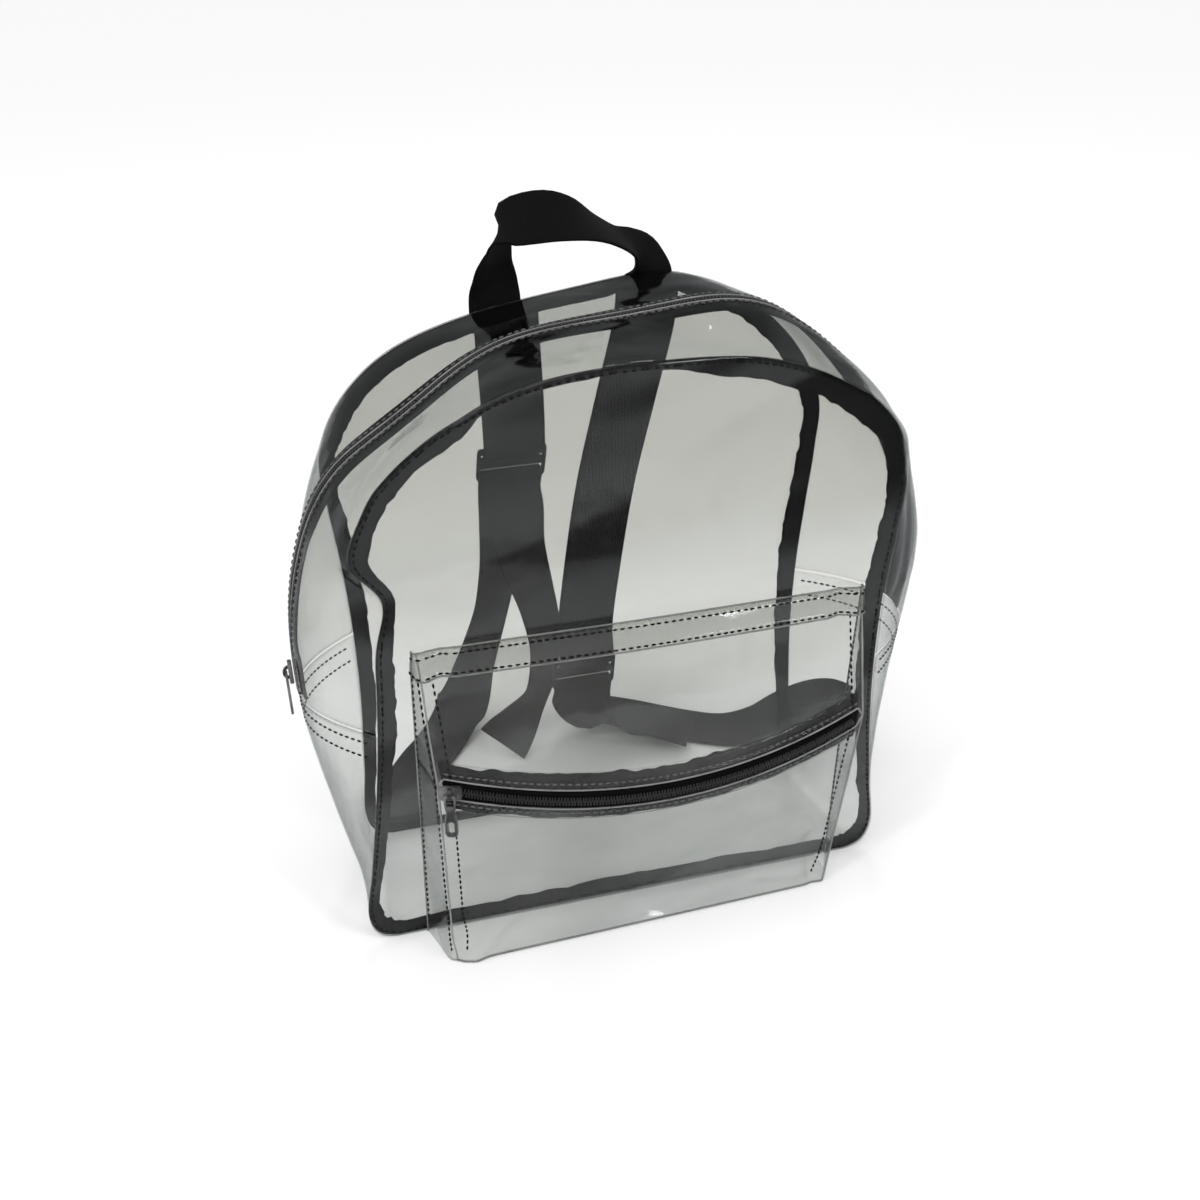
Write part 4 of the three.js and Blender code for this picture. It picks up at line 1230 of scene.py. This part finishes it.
# Radius of the turn round the lower bar, straight lead before it, and degrees from row to row
LOOP_RADIUS, LOOP_LEAD, LOOP_STEP = 4.2, 10, 30


def adjuster_frame(side):
    middle, tilt = ADJUSTER_PLACES[side]
    lean = math.radians(tilt)
    down = Vector((0, math.sin(lean), -math.cos(lean)))
    return middle, down, Vector((0, math.cos(lean), math.sin(lean)))


def adjuster_row(side, down, out):
    middle, way_down, way_off = adjuster_frame(side)
    return (*(middle + way_down * down + way_off * out), 1, 0, 0)


def shoulder_rows(side):
    slot = (ADJUSTER["middle_bar"] / 2 + ADJUSTER["height"] / 2 - ADJUSTER["bar"]) / 2
    return SHOULDER_ROWS[side] + [adjuster_row(side, down - slot, out) for down, out in SLOT_ROWS]


def lower_rows(side):
    bar = ADJUSTER["height"] / 2 - ADJUSTER["bar"] / 2
    rows = TAIL_ROWS[side] + [adjuster_row(side, bar + LOOP_LEAD, -LOOP_RADIUS)]
    for angle in range(-90, 91, LOOP_STEP):
        turn = math.radians(angle)
        rows.append(adjuster_row(side, bar - LOOP_RADIUS * math.cos(turn), LOOP_RADIUS * math.sin(turn)))
    return rows + [adjuster_row(side, bar + LOOP_LEAD, LOOP_RADIUS)] + LOWER_ROWS[side]


print("rows of the left lower strap", len(lower_rows("left")))

# %% [markdown]
# ## Handle and straps
# Two smooth lines run through each table, one for the places and one for the width's direction. The
# direction is kept square to the line, as real webbing can twist but hardly bends in its own plane.

# %% Lay the webbing
STRAP_WIDTH, HANDLE_WIDTH = 38, 30
WEB_THICK, WEB_EDGE = 1.6, 0.4
# Length of a cell along the webbing, and the number of cells across it
WEB_CELL, WEB_ROWS = 3.2, 8
# Part of a row's step over which the line's direction is measured
STEP_REACH = 0.01


def ribbon(rows, width):
    line = smooth_line([Vector(row[:3]) for row in rows], False)
    wide = smooth_line([Vector(row[3:]) for row in rows], False)
    last = len(rows) - 1

    def at(u, v):
        station = u * last
        ahead, behind = min(station + STEP_REACH, last), max(station - STEP_REACH, 0)
        tangent = (line(ahead) - line(behind)).normalized()
        across = wide(station)
        across = (across - tangent * across.dot(tangent)).normalized()
        return line(station) + across * ((v - 0.5) * width)

    return at


def add_webbing(name, at):
    mesh = bmesh.new()
    lay_strip(mesh, at, round(run_length(at, True) / WEB_CELL), WEB_ROWS)
    piece = finish_piece(mesh, name + "_webbing", BLACK_WEBBING, (name,))
    thicken(piece, WEB_THICK, 0.0, WEB_EDGE)


WEBBING = {"handle": ribbon(HANDLE_ROWS, HANDLE_WIDTH)}
for side in ("left", "right"):
    WEBBING[side + "_shoulder_strap"] = ribbon(shoulder_rows(side), STRAP_WIDTH)
    WEBBING[side + "_lower_strap"] = ribbon(lower_rows(side), STRAP_WIDTH)
for name, at in WEBBING.items():
    add_webbing(name, at)

# %% [markdown]
# ## Adjusters
# A strap adjuster is a moulded frame with two slots. Cutting slots out of a block would need booleans. A
# grid of three by five cells has the slots already: their two cells are deleted, the outer corners
# rounded, and the sheet is thickened and bevelled. Small ribs on the lower bar grip the webbing.

# %% Mould the adjusters
GRID_DIGITS = 5
# Edges that turn by more than this, in radians, are rims
RIM_ANGLE = 0.9
RIB = {"each_side": 4, "pitch": 4, "size": (1.2, 2.2, 0.9), "edge": 0.3}


def set_lines(mesh, columns, rows):
    """Moves the lines of a fresh grid to the given x and y places."""
    xs = sorted({round(vert.co.x, GRID_DIGITS) for vert in mesh.verts})
    ys = sorted({round(vert.co.y, GRID_DIGITS) for vert in mesh.verts})
    for vert in mesh.verts:
        column, row = xs.index(round(vert.co.x, GRID_DIGITS)), ys.index(round(vert.co.y, GRID_DIGITS))
        vert.co = (columns[column], rows[row], 0)


def cut_cells(mesh, cells):
    spots = [face for face in mesh.faces if any(
        x0 < face.calc_center_median().x < x1 and y0 < face.calc_center_median().y < y1
        for x0, y0, x1, y1 in cells)]
    bmesh.ops.delete(mesh, geom=spots, context="FACES")


def round_rims(mesh, worn, offset):
    """Rounds the sharp edges and marks them as worn."""
    rims = [edge for edge in mesh.edges if edge.is_manifold and edge.calc_face_angle() > RIM_ANGLE]
    for vert in round_off(mesh, rims, offset, 2)["verts"]:
        vert[worn] = 1.0


def plate_from(mesh, thick, offset):
    """Gives a flat sheet its thickness, with its middle at zero height."""
    worn = mesh.verts.layers.float.new("worn")
    bmesh.ops.solidify(mesh, geom=mesh.faces[:], thickness=thick)
    bmesh.ops.recalc_face_normals(mesh, faces=mesh.faces)
    round_rims(mesh, worn, offset)
    low = min(vert.co.z for vert in mesh.verts)
    high = max(vert.co.z for vert in mesh.verts)
    bmesh.ops.translate(mesh, vec=(0, 0, -(low + high) / 2), verts=mesh.verts)


def add_ribs(mesh):
    size = Matrix.Diagonal((*RIB["size"], 1))
    low = (ADJUSTER["bar"] - ADJUSTER["height"]) / 2
    for step in range(-RIB["each_side"], RIB["each_side"] + 1):
        place = Matrix.Translation((step * RIB["pitch"], low, ADJUSTER["thick"] / 2))
        rib = bmesh.ops.create_cube(mesh, size=1, matrix=place @ size)["verts"]
        round_off(mesh, edges_of(rib), RIB["edge"], 2)


def add_adjuster(side):
    half, tall, slot = ADJUSTER["width"] / 2, ADJUSTER["height"] / 2, ADJUSTER["slot"] / 2
    inner, outer = ADJUSTER["middle_bar"] / 2, tall - ADJUSTER["bar"]
    mesh = bmesh.new()
    bmesh.ops.create_grid(mesh, x_segments=3, y_segments=5, size=0.5)
    set_lines(mesh, (-half, -slot, slot, half), (-tall, -outer, -inner, inner, outer, tall))
    cut_cells(mesh, [(-slot, inner, slot, outer), (-slot, -outer, slot, -inner)])
    corners = [vert for vert in mesh.verts if len(vert.link_edges) == 2]
    round_off(mesh, corners, ADJUSTER["corner"], 4, "VERTICES")
    plate_from(mesh, ADJUSTER["thick"], ADJUSTER["edge"])
    add_ribs(mesh)
    middle, _, out = adjuster_frame(side)
    across = Vector((-1, 0, 0))
    turn = Matrix((across, out.cross(across), out)).transposed().to_4x4()
    bmesh.ops.transform(mesh, matrix=Matrix.Translation(middle) @ turn, verts=mesh.verts)
    name = side + "_adjuster"
    finish_piece(mesh, name + "_frame", BLACK_PLASTIC, (name,), smooth=False)


add_adjuster("left")
add_adjuster("right")

# %% [markdown]
# ## Seats of the sliders
# A slider straddles the teeth and stands straight out of the zip, wherever the film has buckled to. Its
# place could be measured and typed in. Taken from the same surfaces as the zip, it follows each change of
# the bag.

# %% Find the sliders' seats
MAIN_SLIDER_STATION = 7.12
POCKET_SLIDER_SHARE = 0.217


def seat_matrix(middle, out):
    """Turns z straight out of the zip and x along the pull's hinge."""
    down = Vector((0, 0, -1)) + out * out.z
    hinge = -down.normalized().cross(out)
    turn = Matrix((hinge, out.cross(hinge), out)).transposed().to_4x4()
    return Matrix.Translation(middle) @ turn


def main_seat():
    def at(step, share):
        return on_gusset(MAIN_SLIDER_STATION + step, share)

    along = at(NEAR, 0.5) - at(0, 0.5)
    across = at(0, 0.5 + NEAR) - at(0, 0.5 - NEAR)
    return seat_matrix(at(0, 0.5), along.cross(across).normalized())


def pocket_seat():
    def at(share):
        return dented(on_sharp_pocket(share, pocket_zip_height))

    along = at(POCKET_SLIDER_SHARE + NARROW) - at(POCKET_SLIDER_SHARE - NARROW)
    return seat_matrix(at(POCKET_SLIDER_SHARE), along.cross(Vector((0, 0, 1))).normalized())


SEATS = {"main": main_seat(), "pocket": pocket_seat()}
print("seats", {name: [round(value) for value in seat.translation] for name, seat in SEATS.items()})

# %% [markdown]
# ## Sliders and pulls
# A slider is a small cast body with an arched lug on top, and its pull hangs in the lug. A torus would
# make the lug round in section, so it is a short flat bar spun through half a turn. The pull narrows below
# its window and widens to a round end with a slot.

# %% Cast the sliders and pulls
SLIDER = {"width": 8.6, "length": 13, "low": 1.1, "high": 3.4, "corner": 2.2, "edge": 0.5}
LUG = {"radius": 3.5, "centre": 2.6, "wide": 2.0, "thick": 1.2, "steps": 12}
PULL_AXIS_OUT, PULL_THICK, PULL_EDGE = 4.8, 1.5, 0.32
# Ends of the pull's slot and window, as distances down from its axis, and half widths
SLOT_END, SLOT_START, SLOT_HALF, SLOT_CORNER = 24.4, 17, 1.5, 1.2
WINDOW_END, WINDOW_START, WINDOW_HALF = 7, 1.55, 2
END_CORNER = 0.9
# Distance down the pull, half width and half width of its hole's column
PULL_ROWS = [
    (27, 2.6, SLOT_HALF), (SLOT_END, 3.6, SLOT_HALF), (SLOT_START, 3.6, SLOT_HALF), (11, 2.5, SLOT_HALF),
    (WINDOW_END, 3.1, WINDOW_HALF), (WINDOW_START, 3.5, WINDOW_HALF), (0.05, 3.3, WINDOW_HALF),
]
INNER_COLUMN, OUTER_COLUMN = 1, 2
# How close to a hole's corner a vertex counts as that corner
CORNER_REACH = 0.1


def add_lug(mesh):
    half_wide, half_thick = LUG["wide"] / 2, LUG["thick"] / 2
    corners = [(-half_wide, -half_thick), (half_wide, -half_thick), (half_wide, half_thick),
               (-half_wide, half_thick)]
    section = mesh.faces.new([mesh.verts.new((x, y - LUG["radius"], LUG["centre"])) for x, y in corners])
    bmesh.ops.spin(mesh, geom=[section, *section.edges, *section.verts], cent=(0, 0, LUG["centre"]),
                   axis=(1, 0, 0), dvec=(0, 0, 0), angle=-math.pi, steps=LUG["steps"], use_merge=False)


def add_slider(name, seat, runs_up):
    mesh = bmesh.new()
    worn = mesh.verts.layers.float.new("worn")
    wide, long = (SLIDER["width"], SLIDER["length"]) if runs_up else (SLIDER["length"], SLIDER["width"])
    middle, thick = (SLIDER["low"] + SLIDER["high"]) / 2, SLIDER["high"] - SLIDER["low"]
    place = Matrix.Translation((0, 0, middle)) @ Matrix.Diagonal((wide, long, thick, 1))
    bmesh.ops.create_cube(mesh, size=1, matrix=place)
    uprights = [edge for edge in mesh.edges if abs((edge.verts[0].co - edge.verts[1].co).z) > 1]
    round_off(mesh, uprights, SLIDER["corner"], 3)
    round_rims(mesh, worn, SLIDER["edge"])
    add_lug(mesh)
    bmesh.ops.recalc_face_normals(mesh, faces=mesh.faces)
    bmesh.ops.transform(mesh, matrix=seat, verts=mesh.verts)
    finish_piece(mesh, name + "_cast", PAINTED_METAL, (name,), smooth=False)


def in_slot(place):
    beside = abs(place.x) < SLOT_HALF + CORNER_REACH
    return beside and -SLOT_END - CORNER_REACH < place.y < -SLOT_START + CORNER_REACH


def add_pull(name, seat):
    mesh = bmesh.new()
    bmesh.ops.create_grid(mesh, x_segments=3, y_segments=len(PULL_ROWS) - 1, size=0.5)
    columns = (-OUTER_COLUMN, -INNER_COLUMN, INNER_COLUMN, OUTER_COLUMN)
    set_lines(mesh, columns, [-down for down, half, hole in PULL_ROWS])
    widths = {-down: (half, hole) for down, half, hole in PULL_ROWS}
    for vert in mesh.verts:
        half, hole = widths[round(vert.co.y, 3)]
        vert.co.x = math.copysign(half if abs(vert.co.x) > INNER_COLUMN else hole, vert.co.x)
    cut_cells(mesh, [(-WINDOW_HALF, -WINDOW_END, WINDOW_HALF, -WINDOW_START),
                     (-SLOT_HALF, -SLOT_END, SLOT_HALF, -SLOT_START)])
    slot = [vert for vert in mesh.verts if in_slot(vert.co)]
    end = [vert for vert in mesh.verts if len(vert.link_edges) == 2]
    round_off(mesh, slot, SLOT_CORNER, 3, "VERTICES")
    end = [vert for vert in end if vert.is_valid]
    round_off(mesh, end, END_CORNER, 3, "VERTICES")
    plate_from(mesh, PULL_THICK, PULL_EDGE)
    place = seat @ Matrix.Translation((0, 0, PULL_AXIS_OUT))
    bmesh.ops.transform(mesh, matrix=place, verts=mesh.verts)
    finish_piece(mesh, name + "_tab", PAINTED_METAL, (name,), body=name, smooth=False)


for zip_name, seat in SEATS.items():
    add_slider(zip_name + "_slider", seat, zip_name == "main")
    add_pull(zip_name + "_pull", seat)

# %% [markdown]
# ## Stitches
# Rows of stitches hold all of this together, and on clear film they are the only sign of it. A dashed line
# in the material would lie flat. Each stitch is a stretched ball with few faces, laid along the sewn line
# at an even pitch. The thread along the zips, made pale with painted highlight, is a piece of its own.

# %% Thread and needle
STITCH = {"pitch": 4.2, "long": 3.3, "wide": 1.35, "lift": 0.25, "spots": 700}
stitches = bmesh.new()
zip_stitches = bmesh.new()


def sew(at, v, lift=STITCH["lift"], mesh=stitches):
    """Sews along the surface at v, and returns the number of stitches."""
    size = Matrix.Diagonal((STITCH["long"], STITCH["wide"], STITCH["wide"], 1))
    shares = spaced(at, v, STITCH["pitch"], STITCH["spots"])
    for u in shares:
        along, out = way_out(at, u, v)
        place = turned(at(u, v) + out * lift, along, out)
        bmesh.ops.create_icosphere(mesh, subdivisions=1, radius=0.5, matrix=place @ size)
    return len(shares)


print("stitches every", STITCH["pitch"], "mm")

# %% [markdown]
# ## Rows of stitches
# Every seam is sewn beside its own edge: along both zips, across the gusset at the zip's ends, round both
# panels, along the pocket's hem and folds, and across the ends of the webbing. The rows are measured from
# the same surfaces as the pieces, so a dent moves them together.

# %% Sew the rows
# Distances of the rows from the zip's opening and from the bound seam, and a short way to both sides of a row
ZIP_SEAM, BOUND_SEAM, SEAM_REACH = 3.0, 3.2, 2
# Stations from the zip's ends to the rows across the gusset, their ends and a short way along the gusset
CROSS_ROWS, CROSS_FROM, CROSS_TO, CROSS_REACH = (0.16, 0.34), 0.03, 0.97, 0.1
FACE_INSET = 0.01
# Depth of the pocket's top seam, its two rows as shares of that depth, and its height over the film
TOP_SEAM, TOP_SEAM_ROWS, TOP_SEAM_LIFT = 13, (0.78, 0.04), 1.2
UPRIGHT_FROM = 8
UPRIGHT_ROWS = (0.012, SIDE_SHARE - 0.014, SIDE_SHARE + 0.02, 1 - SIDE_SHARE - 0.02, 0.988)
# Where rows of stitches cross each piece of webbing, as shares of its length, and their ends across it
TACKS = {
    "handle": (0.012, 0.045, 0.955, 0.988),
    "left_shoulder_strap": (0.02, 0.09), "right_shoulder_strap": (0.015, 0.06),
    "left_lower_strap": (0.975, 0.995), "right_lower_strap": (0.975, 0.995),
}
TACK_FROM, TACK_TO = 0.12, 0.88


def across_gusset(station):
    return lambda u, v: on_gusset(station + (v - 0.5) * CROSS_REACH, mix(CROSS_FROM, CROSS_TO, u))


def across_webbing(at, u):
    return lambda across, v: at(u + (v - 0.5) * NARROW, mix(TACK_FROM, TACK_TO, across))


def near_seam(line, mirrored):
    middle = panel_middle(line)

    def at(u, v):
        edge = on_line(line, round((1 - u if mirrored else u) * STATIONS, STATION_DIGITS))
        inset = mix(BOUND_SEAM + SEAM_REACH, BOUND_SEAM - SEAM_REACH, v)
        return dented(edge + (middle - edge).normalized() * inset)

    return at


def top_seam_edge(share, side):
    return POCKET["top"] - TOP_SEAM


def finish_stitches(mesh, name, thread):
    mesh.loops.layers.uv.verify()
    finish_piece(mesh, name, thread)


face_from, face_to = SIDE_SHARE + FACE_INSET, 1 - SIDE_SHARE - FACE_INSET
zip_seams = strip_between(ZIP_END, zip_to, beside_zip(-1, ZIP_SEAM), beside_zip(1, ZIP_SEAM))
pocket_seams = pocket_strip(face_from, face_to, zip_edge(-1, ZIP_SEAM), zip_edge(1, ZIP_SEAM))
made = 0
for seams in (zip_seams, pocket_seams):
    made += sew(seams, 0.0, mesh=zip_stitches) + sew(seams, 1.0, mesh=zip_stitches)
for station in [ZIP_END - row for row in CROSS_ROWS] + [zip_to + row for row in CROSS_ROWS]:
    made += sew(across_gusset(station), 0.5)
made += sew(near_seam("front", True), 0.5) + sew(near_seam("back", False), 0.5)
for row in TOP_SEAM_ROWS:
    made += sew(pocket_strip(0, 1, top_seam_edge, pocket_top), row, TOP_SEAM_LIFT)
for share in UPRIGHT_ROWS:
    made += sew(upright(share, UPRIGHT_FROM, POCKET["top"] - TOP_HEM), 0.5)
for name, at in WEBBING.items():
    for u in TACKS[name]:
        for face in (1, -1):
            made += sew(across_webbing(at, u), 0.5, face * WEB_THICK / 2)
finish_stitches(stitches, "seam_stitches", THREAD)
# The zips' stitches take the thread with the painted highlight
finish_stitches(zip_stitches, "zip_stitches", HIGHLIGHT_THREAD)
print(made, "stitches")

# %% [markdown]
# ## Floor and light
# The bag stands on a pale floor in soft, even light, as in a small studio. A few strong lamps would give
# hard shadows and burnt spots on the film. A sun as wide as a lit ceiling and a pale world give the even
# light, and three weak lamps only add glints to the film.

# %% Light the scene
FLOOR_HALF = 8
FLOOR_DROP = 0.0004
FLOOR_COLOUR = (0.95, 0.95, 0.948, 1)
# Name, place, width and power of each lamp, in metres and watts
LAMPS = [
    ("key", (-1.1, -1.0, 1.9), 0.12, 4.5),
    ("window", (0.9, -1.5, 1.5), 0.5, 9),
    ("back", (0.5, 1.4, 1.7), 0.2, 3),
]
LAMP_TARGET = Vector((0, 0, 0.15))
SUN = {"aim": (0.45, 0.55, -1.0), "strength": 1.4, "angle": 60}
WORLD_STRENGTH = 0.63
# Faces of clear film that light may cross before it stops
FILM_FACES = 48


def add_floor():
    mesh = bmesh.new()
    bmesh.ops.create_grid(mesh, x_segments=1, y_segments=1, size=FLOOR_HALF,
                          matrix=Matrix.Translation((0, 0, -FLOOR_DROP)))
    data = bpy.data.meshes.new("floor")
    mesh.to_mesh(data)
    mesh.free()
    floor = bpy.data.objects.new("floor", data)
    bpy.context.scene.collection.objects.link(floor)
    material, tree, surface = start_material("pale_floor")
    paint = add_node(tree, "BsdfPrincipled", {
        "Base Color": FLOOR_COLOUR, "Roughness": 1.0, "Specular IOR Level": 0.0})
    tree.links.new(paint.outputs[0], surface)
    data.materials.append(material)


def add_lamp(name, place, width, power):
    data = bpy.data.lights.new(name, "AREA")
    data.size = width
    data.energy = power
    lamp = bpy.data.objects.new(name, data)
    lamp.location = place
    aim = LAMP_TARGET - Vector(place)
    lamp.rotation_mode = "QUATERNION"
    lamp.rotation_quaternion = aim.to_track_quat("-Z", "Y")
    bpy.context.scene.collection.objects.link(lamp)


def add_sun():
    data = bpy.data.lights.new("ceiling", "SUN")
    data.energy = SUN["strength"]
    data.angle = math.radians(SUN["angle"])
    lamp = bpy.data.objects.new("ceiling", data)
    lamp.rotation_mode = "QUATERNION"
    lamp.rotation_quaternion = Vector(SUN["aim"]).to_track_quat("-Z", "Y")
    bpy.context.scene.collection.objects.link(lamp)


def light_world():
    world = bpy.data.worlds.new("studio")
    world.use_nodes = True
    sky = world.node_tree.nodes["Background"]
    sky.inputs["Color"].default_value = (1, 1, 1, 1)
    sky.inputs["Strength"].default_value = WORLD_STRENGTH
    bpy.context.scene.world = world


add_floor()
for lamp in LAMPS:
    add_lamp(*lamp)
add_sun()
light_world()
bpy.context.scene.view_settings.view_transform = "Standard"
bpy.context.scene.cycles.transparent_max_bounces = FILM_FACES
print("lamps", [lamp[0] for lamp in LAMPS])
